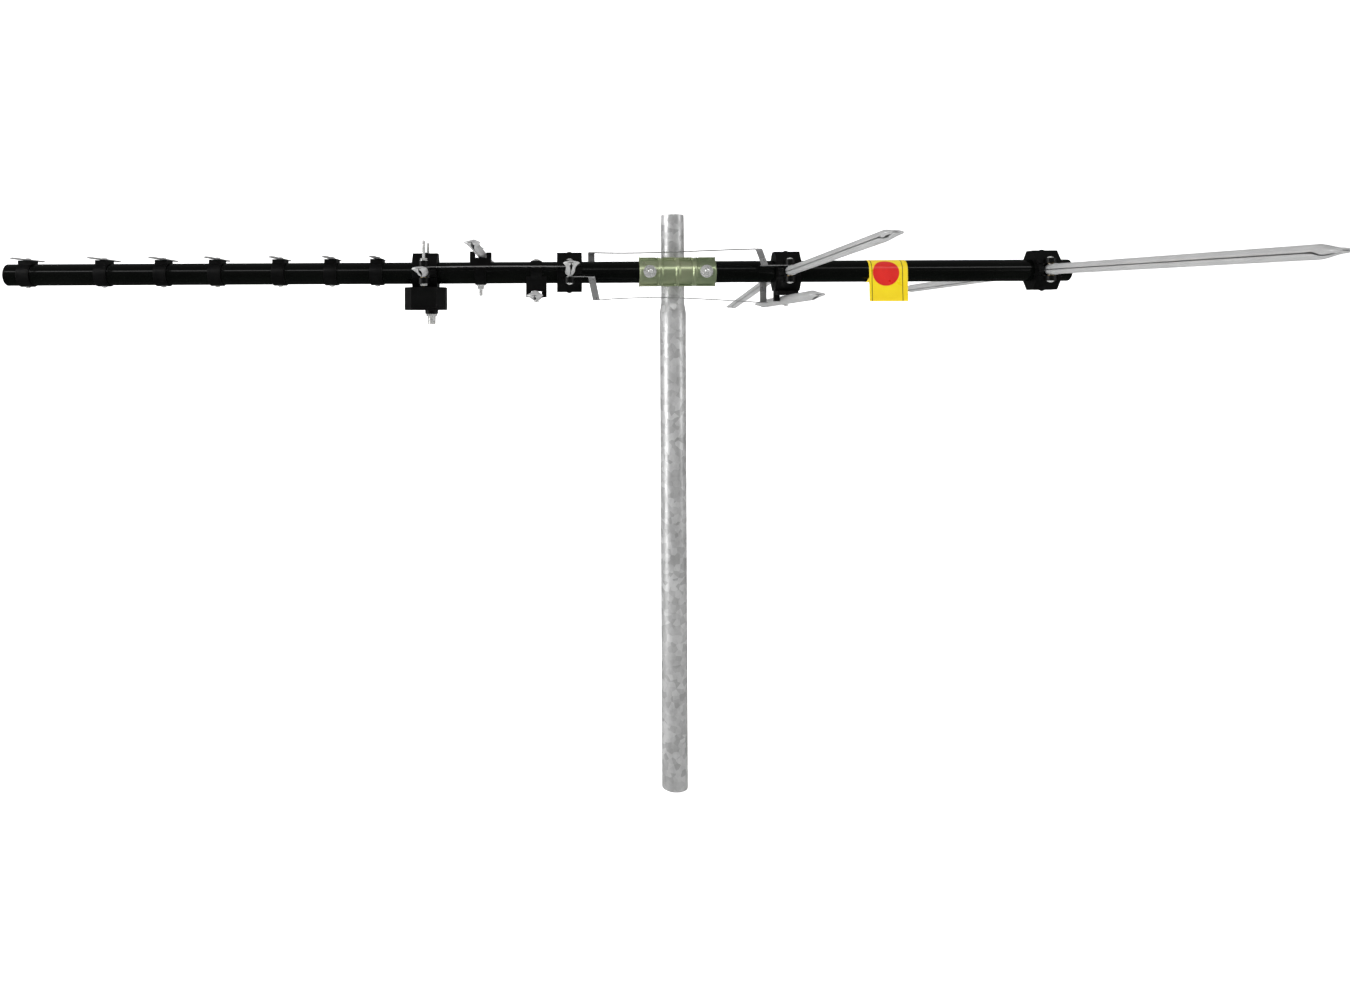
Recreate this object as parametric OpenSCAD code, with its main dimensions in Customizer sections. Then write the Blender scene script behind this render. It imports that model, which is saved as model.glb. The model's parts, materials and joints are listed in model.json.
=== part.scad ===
// Television yagi on a mast: a long round boom, seven strap directors, fed and
// passive folding elements on insulating blocks, a balun and a mast clamp.
// X runs along the boom with the reflector at +X, -Y is the near side, and the
// origin is the centre of the mast's lower end.

/* [Mast] */
// Outside diameter of the mast tube
mast_d = 31.8; // [28:0.1:40]
// Wall of the mast tube
mast_wall = 1.6; // [1:0.1:2.5]
// Length of the whole mast
mast_len = 696; // [660:1:1500]
// Outside diameter of the reduced top end
swage_d = 27.9; // [24:0.1:28]
// Length of the reduced top end
swage_len = 107; // [90:1:200]
// Length of the cone between the two diameters
flare_len = 12; // [6:1:25]
// From the mast's top down to the boom's axis, in mm
boom_drop = 71; // [60:1:85]

/* [Boom] */
// Outside diameter of the boom tube
boom_d = 25.4; // [22:0.1:28]
// Wall of the boom tube
boom_wall = 1.2; // [0.9:0.1:2]
// From the mast's axis to the front end
front_reach = 789; // [780:1:1000]
// From the mast's axis to the rear end
rear_reach = 461; // [455:1:600]
// Thickness of each end plug's flange
plug_flange = 1.5; // [1:0.1:3]
// Depth of each end plug inside the tube
plug_depth = 12; // [6:1:20]

/* [Clamp] */
// Clear distance between boom and mast
boom_gap = 9.35; // [8:0.05:14]
// Length of the ribbed saddle along the boom
saddle_len = 90; // [84:1:120]
// Height of the saddle
saddle_h = 31; // [29:1:36]
// Thickness of the clamp's pressed sheet
clamp_sheet = 2; // [1.5:0.1:3]
// Distance between the two clamp bolts
bolt_span = 66; // [62:1:72]
// Diameter of the clamp bolts
bolt_d = 6; // [5:0.5:8]
// Distance between the saddle's raised ribs
rib_pitch = 20; // [16:1:22]
// Width of a rib
rib_w = 5; // [3:0.5:7]
// How far a rib stands out of the saddle
rib_rise = 1.8; // [1:0.1:3]

/* [Directors] */
// Distance of each director ahead of the mast's axis
director_at = [765.5, 675.2, 605.3, 541.7, 467.6, 406.6, 352.8]; // [340:0.1:790]
// Length of a director strap
director_len = 76; // [60:1:90]
// Length of the foremost strap
first_director_len = 68; // [60:1:90]
// Width of a director strap
strap_w = 7; // [5:0.5:9]
// Thickness of a director strap
strap_t = 1.5; // [1:0.1:2]
// Length of a clip along the boom
clip_len = 14.6; // [10:0.1:18]
// Depth of a clip's platform across the boom
clip_depth = 17; // [12:0.5:22]
// Height of the platform above the boom's top
clip_rise = 4; // [3:0.5:6]
// Wall of the clip's ring
clip_wall = 1.3; // [1:0.1:2]
// Diameter of a director rivet
rivet_d = 3.2; // [2.4:0.1:4]

/* [Blocks] */
// Length of an element block along the boom
block_len = 29; // [26:0.5:34]
// Height of an element block
block_h = 46; // [44:0.5:52]
// Depth of an element block across the boom
block_depth = 44; // [42:0.5:50]
// Depth of the block's flat top
block_top = 14; // [12:0.5:20]
// Radius of the boss around each pivot
boss_r = 6; // [5:0.1:7]
// Height of each boss above the element's centre
boss_top = 13.2; // [12:0.1:16]
// Diameter of the pivot rivets and studs
pivot_d = 4; // [3:0.1:4.6]
// Feed block ahead of the mast's axis
feed_at = 295.8; // [290:0.1:305]
// Centre dipole block ahead of the mast's axis
uhf_at = 126.6; // [120:0.1:135]
// Driven long element behind the mast's axis
vhf_at = 128.7; // [120:0.1:150]
// Reflector behind the mast's axis
reflector_at = 430.9; // [425:0.1:435]

/* [Elements] */
// Outside diameter of the element tubes
tube_d = 10.5; // [9:0.1:11]
// Outside diameter of the reflector's tubes
reflector_d = 12; // [10:0.1:12.4]
// Wall of the element tubes
tube_wall = 0.9; // [0.6:0.1:1.4]
// From the boom's centre to the tip of a feed half
feed_half = 60; // [50:1:75]
// From the boom's centre to the tip of a centre dipole half
uhf_half = 115; // [90:1:130]
// From the boom's centre to the tip of a long driven half
vhf_half = 335; // [300:1:336]
// From the boom's centre to the tip of a reflector half
reflector_half = 420; // [350:1:500]
// Width of a flattened tip
tip_w = 17.5; // [14:0.5:19]
// Thickness of a flattened tip
tip_t = 3.2; // [2:0.1:5]
// Length of a flattened tip
tip_len = 22; // [16:1:30]
// Radial play of a rivet in what turns on it
pivot_play = 0.06; // [0.03:0.01:0.1]

/* [Short elements] */
// Upper element ahead of the mast's axis
upper_at = 231; // [228:0.5:236]
// Lower element ahead of the mast's axis
lower_at = 165.5; // [162:0.5:170]
// Half length of the upper element
upper_half = 126; // [100:1:130]
// Half length of the lower element
lower_half = 125; // [100:1:130]
// Half length of the rear lower element
rear_half = 135; // [100:1:140]
// Length and depth of their insulators
pad_len = 24; // [22:0.5:26]
// Height of the upper tube's centre above the boom's centre
upper_z = 23; // [22:0.5:26]
// Depth of the lower tube's centre below the boom's centre
lower_z = 27.5; // [25:0.5:32]
// Depth of the rear tube's centre below the boom's centre
rear_z = 33.5; // [33:0.5:38]
// Width of the ring that holds an insulator on the boom
pad_ring = 13; // [8:0.5:18]

/* [Phasing straps] */
// Width of a phasing strap
phase_w = 8; // [5:0.5:8.5]
// Thickness of a phasing strap
phase_t = 1; // [0.6:0.1:1.2]
// Height of the upper crossing strap above the boom's centre
phase_up = 24; // [20:0.5:26]
// Depth of the lower crossing strap below the boom's centre
phase_down = 33; // [28:0.5:36]

/* [Balun] */
// Widest length of the balun housing along the boom
housing_len = 47.6; // [44:0.1:56]
// Height of the balun housing
housing_h = 24; // [22:0.5:34]
// Wall of the balun housing
housing_wall = 2; // [1.5:0.1:3]
// Top of the housing below the boom's centre
housing_z = 17; // [16.5:0.1:20]
// Thickness of the housing's bottom cover
cover_t = 2.5; // [1.5:0.1:4]
// Connector behind the feed block's centre
connector_shift = 6.5; // [0:0.5:8]
// Outside diameter of the connector's thread
connector_d = 9.5; // [9.4:0.1:9.6]
// Length of the connector's free thread
connector_len = 9.4; // [8:0.1:12]
// Height of the terminal studs' tops above the boom's centre
stud_top = 37; // [30:0.5:45]

/* [Tag] */
// Front edge of the tag behind the mast's axis
tag_at = 223; // [190:1:300]
// Length of the tag along the boom
tag_len = 45; // [30:1:60]
// How far the tag hangs below the boom's centre
tag_drop = 36; // [25:1:45]
// Thickness of the tag's film
tag_t = 0.3; // [0.2:0.05:0.5]

/* [Hidden] */
$fn = 48;
eps = 0.01;
seat = 0.1;        // clearance of a moulding round the boom
gap = 0.3;         // running clearance between bodies
rub = 0.25;        // clearance of a strap or washer beside a turning tube
part_line = 0.15;  // half the gap between the two shells of a block
pad_gap = 0.45;    // lets a drooping tube pass the corners of its pad
thread_relief = 0.2; // how much slimmer a stud's free thread is than its shank

boom_height = mast_len - boom_drop;
boom_r = boom_d / 2;
swage_r = swage_d / 2;
boom_y = boom_r + boom_gap + swage_r;
tube_r = tube_d / 2;
reflector_r = reflector_d / 2;
pivot_y = boom_r + gap + reflector_r + 0.5;
clip_top = boom_r + clip_rise;
ring_r = boom_r + seat + clip_wall;
head_h = 2;
nut_h = 3.2;
head_seat_r = 4.9;
latch_depth = 0.2;  // under the 0.45 that the pivot bore leaves of the wall
shank_r = rivet_d / 2;
pivot_r = pivot_d / 2;
hole_r = pivot_r + pivot_play;

// Places along the boom, forwards negative
feed_x = -feed_at;
uhf_x = -uhf_at;
upper_x = -upper_at;
lower_x = -lower_at;
connector_x = feed_x + connector_shift;
housing_low = housing_z + housing_h;
cover_low = housing_low + cover_t;
boss_low = cover_low + 4.5;
nut_low = boss_low + 3;
thread_low = nut_low + connector_len;
board_t = 1.6;
board_z = housing_z + housing_wall + 5;

module on_boom() {
    translate([0, -boom_y, boom_height]) children();
}

// A round bar along X from x0 to x1
module bar_x(r, x0, x1) {
    translate([x0, 0, 0]) rotate([0, 90, 0]) cylinder(r = r, h = x1 - x0);
}

// A round bar along Y from y0 to y1
module bar_y(r, y0, y1) {
    translate([0, y0, 0]) rotate([-90, 0, 0]) cylinder(r = r, h = y1 - y0);
}

// An outline drawn as (Y, Z) and carried along X
module prism_x(len) {
    rotate([90, 0, 90]) linear_extrude(len, center = true) children();
}

// A domed rivet head that stands on z = 0
module dome(r, h) {
    ball = (r * r + h * h) / (2 * h);
    rotate_extrude() intersection() {
        translate([0, h - ball]) circle(r = ball);
        square([r + 1, h]);
    }
}

module box_between(low, high) {
    translate(low) cube(high - low);
}

// ---- Mast ----
module mast_tube() {
    r = mast_d / 2;
    cone_top = mast_len - swage_len;
    cone_low = cone_top - flare_len;
    color("silver") rotate_extrude($fn = 96) polygon([
        [r, 0], [r, cone_low], [swage_r, cone_top], [swage_r, mast_len],
        [swage_r - mast_wall, mast_len], [swage_r - mast_wall, cone_top],
        [r - mast_wall, cone_low], [r - mast_wall, 0]]);
}

// ---- Boom ----
module boom_tube() {
    inner = boom_r - boom_wall;
    color([0.03, 0.03, 0.03]) on_boom() difference() {
        bar_x(boom_r, plug_flange - front_reach, rear_reach - plug_flange, $fn = 96);
        bar_x(inner, -front_reach, rear_reach, $fn = 96);
        for (s = [-1, 1]) translate([s * bolt_span / 2, 0, 0]) bar_y(bolt_d / 2 + 0.3, -boom_d, boom_d);
        for (x = director_at) translate([-x, 0, -boom_d]) cylinder(r = shank_r + 0.1, h = 2 * boom_d);
        for (x = [upper_x, lower_x]) translate([x, 0, -boom_d]) cylinder(r = pivot_r + 0.1, h = 2 * boom_d);
        translate([vhf_at, 0, -boom_d]) cylinder(r = pivot_r + 0.1, h = boom_d);
        for (x = [feed_x, uhf_x, vhf_at, reflector_at])
            translate([x, 0, 0]) cylinder(r = shank_r + 0.1, h = boom_d);
        for (x = [uhf_x, reflector_at]) translate([x, 0, -boom_d]) cylinder(r = shank_r + 0.1, h = boom_d);
    }
}

module boom_plug() {
    bar_x(boom_r, 0, plug_flange);
    bar_x(boom_r - boom_wall - 0.05, plug_flange - eps, plug_flange + plug_depth);
}

module boom_plugs() {
    color([0.06, 0.06, 0.06]) on_boom() {
        translate([-front_reach, 0, 0]) boom_plug();
        translate([rear_reach, 0, 0]) mirror([1, 0, 0]) boom_plug();
    }
}

// ---- Clamp ----
// The clamp sheet's outline round one side of the boom, bowed towards +Y
module clamp_arc(rise, lip) {
    r0 = boom_r + seat;
    r1 = r0 + clamp_sheet + rise;
    bend = 11;
    difference() {
        union() {
            circle(r = r1, $fn = 96);
            translate([0, -saddle_h / 2]) square([lip, saddle_h]);
        }
        circle(r = r0, $fn = 96);
        translate([-50, -50]) square([50 + 4, 100]);
        for (s = [-1, 1]) translate([lip + 6 - eps, s * (bend + 10) - 10]) square([20, 20]);
    }
}

module clamp_saddle() {
    color("olivedrab") on_boom() difference() {
        union() {
            mirror([0, 1, 0]) prism_x(saddle_len) clamp_arc(0, 7);
            for (i = [-1:1]) translate([i * rib_pitch, 0, 0])
                mirror([0, 1, 0]) prism_x(rib_w) clamp_arc(rib_rise, 7 + rib_rise / 2);
        }
        for (s = [-1, 1]) translate([s * bolt_span / 2, 0, 0]) bar_y(bolt_d / 2 + 0.3, -30, 0);
    }
}

// A vee, point at the origin and open towards +Y, that a round mast beds in
module vee(depth) {
    polygon([[0, 0], [depth * tan(60), depth], [-depth * tan(60), depth]]);
}

module clamp_cradle() {
    vee_point = boom_y - (swage_r + gap) / sin(60);
    reach = vee_point + 9;
    color("olivedrab") on_boom() difference() {
        union() {
            prism_x(saddle_len - 6) clamp_arc(0, 7);
            for (s = [-1, 1]) translate([0, 0, s * (saddle_h / 2 - clamp_sheet / 2) - clamp_sheet / 2])
                translate([-26, 4, 0]) cube([52, reach - 4, clamp_sheet]);
        }
        translate([0, vee_point, -30]) linear_extrude(60) vee(30);
        for (s = [-1, 1]) translate([s * bolt_span / 2, 0, 0]) bar_y(bolt_d / 2 + 0.3, 0, 30);
        bar_x(boom_r + seat, -60, 60);
    }
}

module clamp_rear_jaw() {
    vee_point = boom_y + (swage_r + gap) / sin(60);
    back = vee_point + 6;
    color("olivedrab") on_boom() difference() {
        union() {
            for (s = [-1, 1]) translate([-24, vee_point - 9, s * 8 - clamp_sheet / 2])
                cube([48, back - vee_point + 9, clamp_sheet]);
            translate([-bolt_span / 2 - 9, back - clamp_sheet, -9]) cube([bolt_span + 18, clamp_sheet, 18]);
        }
        translate([0, vee_point, -30]) mirror([0, 1, 0]) linear_extrude(60) vee(30);
        for (s = [-1, 1]) translate([s * bolt_span / 2, 0, 0]) bar_y(bolt_d / 2 + 0.3, 40, 80);
    }
}

module clamp_bolts() {
    back = boom_y + (swage_r + gap) / sin(60) + 6;
    front = boom_r + seat + clamp_sheet + 9;
    color("gainsboro") on_boom() for (s = [-1, 1]) translate([s * bolt_span / 2, 0, 0]) {
        bar_y(bolt_d / 2, -front, back + eps);
        translate([0, back, 0]) rotate([-90, 0, 0]) cylinder(d = 11.5, h = 4, $fn = 6);
    }
}

module clamp_nuts() {
    seat_y = boom_r + seat + clamp_sheet;
    color("gainsboro") on_boom() for (s = [-1, 1]) translate([s * bolt_span / 2, -seat_y, 0]) rotate([90, 0, 0])
        difference() {
            union() {
                cylinder(r = 7.5, h = 1.2);
                cylinder(d = 11.5, h = 6, $fn = 6);
            }
            translate([0, 0, -1]) cylinder(d = bolt_d + 0.1, h = 8);
        }
}

// ---- Directors ----
module director_clips() {
    color([0.06, 0.06, 0.06]) on_boom() for (x = director_at) translate([-x, 0, 0]) difference() {
        union() {
            bar_x(ring_r, -clip_len / 2, clip_len / 2);
            translate([-clip_len / 2, -clip_depth / 2, 5]) cube([clip_len, clip_depth, clip_top - 5]);
        }
        bar_x(boom_r + seat, -clip_len, clip_len);
        translate([0, 0, -30]) cylinder(r = shank_r + 0.05, h = 60);
    }
}

module director_rivets() {
    top = clip_top + strap_t + 0.3;
    color("gainsboro") on_boom() for (x = director_at) translate([-x, 0, 0]) {
        translate([0, 0, -ring_r]) cylinder(r = shank_r, h = top + ring_r + eps);
        translate([0, 0, top]) dome(3.2, 1.3);
        translate([0, 0, -ring_r]) mirror([0, 0, 1]) dome(3, 1.6);
    }
}

module director(i) {
    half = (i == 1 ? first_director_len : director_len) / 2;
    color("silver") on_boom() translate([-director_at[i - 1], 0, clip_top + 0.15])
        linear_extrude(strap_t) difference() {
            polygon([[-strap_w / 2, 3 - half], [0.5 - strap_w / 4, -half], [strap_w / 4 - 0.5, -half],
                [strap_w / 2, 3 - half], [strap_w / 2, half - 3], [strap_w / 4 - 0.5, half],
                [0.5 - strap_w / 4, half], [-strap_w / 2, half - 3]]);
            circle(r = shank_r + pivot_play);
        }
}

// ---- Element blocks ----
module block_outline() {
    x0 = block_top / 2;
    x1 = block_depth / 2;
    z1 = block_h / 2;
    polygon([[-x0, z1], [x0, z1], [x1, 3], [x1, -3], [x0, -z1], [-x0, -z1], [-x1, -3], [-x1, 3]]);
}

// The room that both elements of a block need to turn towards fold = -1 or +1,
// with the ways that its straps come in by
module block_room(r, fold) {
    z = r + rub + phase_t;
    side = block_len / 2 + 1;
    bar_x(boom_r + seat, -block_len, block_len);
    for (s = [-1, 1]) scale([1, s, 1]) {
        translate([0, pivot_y, -z]) cylinder(r = r + 2.6, h = 2 * z);
        box_between([fold > 0 ? 0 : -side, boom_r + gap, -z], [fold > 0 ? side : 0, 50, z]);
        box_between([-r - gap, pivot_y, -z], [r + gap, 50, z]);
        for (t = [-1, 1]) scale([1, 1, t])
            box_between([fold > 0 ? -side : 0, pivot_y - phase_w / 2 - gap, r + rub - gap / 2],
                [fold > 0 ? 0 : side, 50, z]);
        translate([0, pivot_y, -40]) cylinder(r = pivot_r + 0.05, h = 80);
    }
}

// Flat seats for the pivots' heads, wherever the slopes of a block would foul them
module head_seats(depth) {
    for (s = [-1, 1]) translate([0, s * pivot_y, boss_top]) cylinder(r = head_seat_r, h = depth);
}

// One shell of a block: up = 1 for the upper, -1 for the lower
module shell(x, r, fold, up) {
    color([0.05, 0.05, 0.05]) on_boom() translate([x, 0, 0]) difference() {
        union() {
            prism_x(block_len) block_outline();
            for (s = [-1, 1]) translate([0, s * pivot_y, -boss_top]) cylinder(r = boss_r, h = 2 * boss_top);
        }
        block_room(r, fold);
        scale([1, 1, up]) head_seats(block_h);
        translate([-50, -50, up > 0 ? part_line - 100 : -part_line]) cube([100, 100, 100]);
        translate([0, 0, up > 0 ? 0 : -40]) cylinder(r = shank_r + 0.05, h = 40);
    }
}

module feed_block_upper() {
    shell(feed_x, tube_r, -1, 1);
}

module uhf_block_upper() {
    shell(uhf_x, tube_r, -1, 1);
}

module uhf_block_lower() {
    shell(uhf_x, tube_r, -1, -1);
}

module vhf_block_upper() {
    shell(vhf_at, tube_r, 1, 1);
}

module vhf_block_lower() {
    difference() {
        shell(vhf_at, tube_r, 1, -1);
        on_boom() translate([vhf_at, 0, -40]) cylinder(r = pivot_r + 0.05, h = 40);
    }
}

module reflector_block_upper() {
    shell(reflector_at, reflector_r, 1, 1);
}

module reflector_block_lower() {
    shell(reflector_at, reflector_r, 1, -1);
}

module block_screw() {
    inside = boom_r - boom_wall - 1;
    translate([0, 0, inside]) cylinder(r = shank_r, h = block_h / 2 - inside + eps);
    translate([0, 0, block_h / 2]) dome(3.4, 1.5);
}

module block_screws() {
    color("dimgray") on_boom() {
        for (x = [feed_x, uhf_x, vhf_at, reflector_at]) translate([x, 0, 0]) block_screw();
        for (x = [uhf_x, reflector_at]) translate([x, 0, 0]) mirror([0, 0, 1]) block_screw();
    }
}

module pivot_rivets() {
    color("gainsboro") on_boom() for (x = [uhf_x, vhf_at, reflector_at], s = [-1, 1])
        translate([x, s * pivot_y, 0]) {
            translate([0, 0, -boss_top - eps]) cylinder(r = pivot_r, h = 2 * (boss_top + eps));
            for (t = [-1, 1]) scale([1, 1, t]) translate([0, 0, boss_top]) dome(4, head_h);
        }
}

module washer(r) {
    difference() {
        cylinder(r = 3.9, h = phase_t);
        translate([0, 0, -1]) cylinder(r = pivot_r + 0.05, h = 4);
    }
}

// Washers fill the room beside a tube wherever no strap does
module pivot_washers() {
    z = tube_r + rub;
    zr = reflector_r + rub;
    color("goldenrod") on_boom() {
        for (s = [-1, 1]) translate([feed_x, s * pivot_y, -z - phase_t]) washer();
        translate([vhf_at, -pivot_y, -z - phase_t]) washer();
        translate([vhf_at, pivot_y, z]) washer();
        for (s = [-1, 1]) {
            translate([reflector_at, s * pivot_y, zr]) washer();
            translate([reflector_at, s * pivot_y, -zr - phase_t]) washer();
        }
    }
}

// ---- Feed terminals ----
module terminal_studs() {
    color("silver") on_boom() for (s = [-1, 1]) translate([feed_x, s * pivot_y, 0]) {
        translate([0, 0, -boss_top - eps]) cylinder(r = pivot_r, h = 2 * boss_top + nut_h + eps);
        cylinder(r = pivot_r - thread_relief, h = stud_top);
        translate([0, 0, -boss_top - 2.6]) cylinder(d = 8, h = 2.6, $fn = 6);
    }
}

module terminal_nuts() {
    color("gainsboro") on_boom() for (s = [-1, 1]) translate([feed_x, s * pivot_y, boss_top])
        difference() {
            union() {
                cylinder(r = 4.6, h = 0.8);
                cylinder(d = 8, h = nut_h, $fn = 6);
            }
            translate([0, 0, -1]) cylinder(r = pivot_r + 0.05, h = 6);
        }
}

// ---- Folding halves ----
// A flattened tip that runs on from a tube of radius r for tip_len
module tip(r) {
    hull() {
        bar_y(r, 0, 0.1, $fn = 32);
        translate([0, tip_len * 0.5, 0]) cube([tip_w, 0.1, tip_t + 1.5], center = true);
    }
    hull() {
        translate([0, tip_len * 0.5, 0]) cube([tip_w, 0.1, tip_t + 1.5], center = true);
        translate([0, tip_len * 0.72, 0]) cube([tip_w, 0.1, tip_t], center = true);
        translate([0, tip_len - 0.05, 0]) cube([5, 0.1, tip_t], center = true);
    }
}

// One half from its pivot along +Y. The root stays level, then a pressed collar
// turns the tube up by rise degrees and towards +X by swing degrees.
module half(r, span, rise, swing) {
    root = 12;
    bent = rise != 0 || swing != 0;
    start = bent ? 0.5 : -1;
    len = span - pivot_y - root - tip_len;
    difference() {
        union() {
            intersection() {
                bar_y(r, -r - 1, root);
                union() {
                    translate([0, 0, -r - 1]) cylinder(r = r, h = 2 * r + 2);
                    box_between([-r - 1, 0, -r - 1], [r + 1, root + 1, r + 1]);
                }
            }
            if (bent) bar_y(r + 0.6, root - 3, root + 3);
            translate([0, root, 0]) rotate([rise, 0, -swing]) {
                bar_y(r, start, len);
                translate([0, len - eps, 0]) tip(r);
            }
        }
        bar_y(r - tube_wall, -r - 2, bent ? root - 1.5 : root);
        translate([0, root, 0]) rotate([rise, 0, -swing]) bar_y(r - tube_wall, bent ? 1.5 : -2, len - 1);
        translate([0, 0, -r - 1]) cylinder(r = hole_r, h = 2 * r + 2);
    }
}

// A half on the far side (s = 1) or near side (s = -1) of the block at x
module placed_half(x, s, r, span, rise, swing) {
    color("silver") on_boom() translate([x, s * pivot_y, 0]) scale([1, s, 1]) half(r, span, rise, swing);
}

module feed_half_near() {
    placed_half(feed_x, -1, tube_r, feed_half, 5, 0);
}

module feed_half_far() {
    placed_half(feed_x, 1, tube_r, feed_half, 0, 0);
}

module uhf_half_near() {
    placed_half(uhf_x, -1, tube_r, uhf_half, 0, 0);
}

module uhf_half_far() {
    placed_half(uhf_x, 1, tube_r, uhf_half, 0, 0);
}

module vhf_half_near() {
    placed_half(vhf_at, -1, tube_r, vhf_half, 2.8, 1.2);
}

module vhf_half_far() {
    placed_half(vhf_at, 1, tube_r, vhf_half, -7, 0);
}

module reflector_half_near() {
    placed_half(reflector_at, -1, reflector_r, reflector_half, -1.2, 0.2);
}

module reflector_half_far() {
    placed_half(reflector_at, 1, reflector_r, reflector_half, -1.2, 0);
}

// ---- Short elements that turn on one bolt ----
// The pad that carries a tube at height z; turn = 1 leaves it free to turn
// anticlockwise from above, and its two lugs stop it square to the boom
module pad(z, turn, on) {
    half_pad = pad_len / 2;
    floor_z = z - tube_r - pad_gap;
    lug = tube_r + gap + 0.5;
    difference() {
        union() {
            translate([-half_pad, -half_pad, on]) cube([pad_len, pad_len, floor_z - on]);
            for (s = [-1, 1]) scale([s * turn, s, 1])
                box_between([lug, 0.8 * tube_r, floor_z - eps], [half_pad, half_pad, z + 1.5]);
        }
        translate([0, 0, -50]) cylinder(r = pivot_r + 0.05, h = 100);
    }
}

module boom_pad(z) {
    difference() {
        union() {
            pad(z, 1, 5);
            bar_x(ring_r, -pad_ring / 2, pad_ring / 2);
        }
        bar_x(boom_r + seat, -pad_len, pad_len);
        translate([0, 0, -50]) cylinder(r = pivot_r + 0.05, h = 100);
    }
}

module upper_insulator() {
    color([0.06, 0.06, 0.06]) on_boom() translate([upper_x, 0, 0]) boom_pad(upper_z);
}

module lower_insulator() {
    color([0.06, 0.06, 0.06]) on_boom() translate([lower_x, 0, 0]) mirror([0, 0, 1]) boom_pad(lower_z);
}

module rear_insulator() {
    color([0.06, 0.06, 0.06]) on_boom() translate([vhf_at, 0, 0]) mirror([0, 0, 1])
        pad(rear_z, -1, block_h / 2);
}

// A whole short element: its near end rises by tilt degrees
module short_element(half_len, tilt) {
    len = half_len - tip_len;
    difference() {
        rotate([-tilt, 0, 0]) difference() {
            union() {
                bar_y(tube_r, -len, len);
                for (s = [-1, 1]) scale([1, s, 1]) translate([0, len - eps, 0]) tip(tube_r);
            }
            bar_y(tube_r - tube_wall, 1 - len, len - 1);
        }
        translate([0, 0, -2 * tube_r]) cylinder(r = hole_r, h = 4 * tube_r);
    }
}

module upper_element() {
    color("silver") on_boom() translate([upper_x, 0, upper_z]) short_element(upper_half, 1.3);
}

module lower_element() {
    color("silver") on_boom() translate([lower_x, 0, -lower_z]) short_element(lower_half, -1.3);
}

module rear_element() {
    color("silver") on_boom() translate([vhf_at, 0, -rear_z]) short_element(rear_half, 1.2);
}

module element_bolt(z, foot) {
    top = z + tube_r + gap;
    translate([0, 0, foot]) cylinder(r = pivot_r, h = top - foot + eps);
    translate([0, 0, top]) dome(4.2, 2);
}

module element_bolts() {
    foot = -ring_r - 13;
    color("gainsboro") on_boom() {
        translate([upper_x, 0, 0]) element_bolt(upper_z, foot);
        translate([lower_x, 0, 0]) mirror([0, 0, 1]) element_bolt(lower_z, -boom_r - 0.9);
        translate([vhf_at, 0, 0]) mirror([0, 0, 1]) element_bolt(rear_z, boom_r - boom_wall - 1);
    }
}

module element_nuts() {
    color("gainsboro") on_boom() {
        translate([upper_x, 0, -ring_r - 4.8]) difference() {
            union() {
                cylinder(d = 8, h = 4.8, $fn = 6);
                translate([0, 0, 3.8]) cylinder(r = 5, h = 1);
            }
            translate([0, 0, -1]) cylinder(r = pivot_r + 0.05, h = 8);
        }
        translate([lower_x, 0, ring_r]) difference() {
            dome(5, 2.2);
            translate([0, 0, -1]) cylinder(r = pivot_r + 0.05, h = 2);
        }
    }
}

// ---- Phasing straps ----
module strap_flat(x0, x1, y, z) {
    translate([0, 0, z]) linear_extrude(phase_t) translate([x0, y - phase_w / 2]) square([x1 - x0, phase_w]);
}

// A straight strap on top of the tubes, from the feed block to the dipole block
module front_strap(s) {
    color("silver") on_boom() difference() {
        strap_flat(feed_x - phase_w / 2, uhf_x + phase_w / 2, s * pivot_y, tube_r + rub);
        for (x = [feed_x, uhf_x]) translate([x, s * pivot_y, 0]) cylinder(r = hole_r, h = 20);
    }
}

module phase_front_near() {
    front_strap(-1);
}

module phase_front_far() {
    front_strap(1);
}

// A crossing strap that starts at side s of the dipole block, crosses the boom at
// height z and ends at the other side of the driven block. Its ends are folded
// flat beside the tubes, at the heights end0 and end1.
module crossing_strap(s, z, end0, end1) {
    w = phase_w;
    x0 = uhf_x + 23;
    x1 = vhf_at - 34;
    lean = 6;
    y = pivot_y + w / 2;
    z0 = end0 > 0 ? tube_r + rub : -tube_r - rub - phase_t;
    z1 = end1 > 0 ? tube_r + rub : -tube_r - rub - phase_t;
    difference() {
        union() {
            translate([0, 0, z]) linear_extrude(phase_t) polygon([[x0, s * y], [x0 + w, s * y],
                [x1 + w, s * (w - y)], [x1 + w, -s * y], [x1, -s * y], [x0, s * (y - w)]]);
            riser(x0, x0, z, z0, s * y, -s);
            riser(x1, x1 + (end1 > 0 ? lean : 0), z, z1, -s * y, s);
            strap_flat(uhf_x - w / 2, x0 + w, s * pivot_y, z0);
            strap_flat(x1 + (end1 > 0 ? lean : 0), vhf_at + w / 2, -s * pivot_y, z1);
        }
        for (p = [[uhf_x, s], [vhf_at, -s]]) translate([p[0], p[1] * pivot_y, -50]) cylinder(r = hole_r, h = 100);
    }
}

// The upright part of a crossing strap, from (xa, za) to (xb, zb), one sheet thick
// and growing from the plane y towards the side in
module riser(xa, xb, za, zb, y, in) {
    up = za > zb ? za + phase_t : za;
    low = za > zb ? zb : zb + phase_t;
    translate([0, in > 0 ? y + phase_t : y, 0]) rotate([90, 0, 0]) linear_extrude(phase_t)
        polygon([[xa, up], [xa + phase_w, up], [xb + phase_w, low], [xb, low]]);
}

module phase_over() {
    color("whitesmoke") on_boom() crossing_strap(1, phase_up, -1, 1);
}

module phase_under() {
    color("silver") on_boom() crossing_strap(-1, -phase_down, -1, -1);
}

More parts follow.
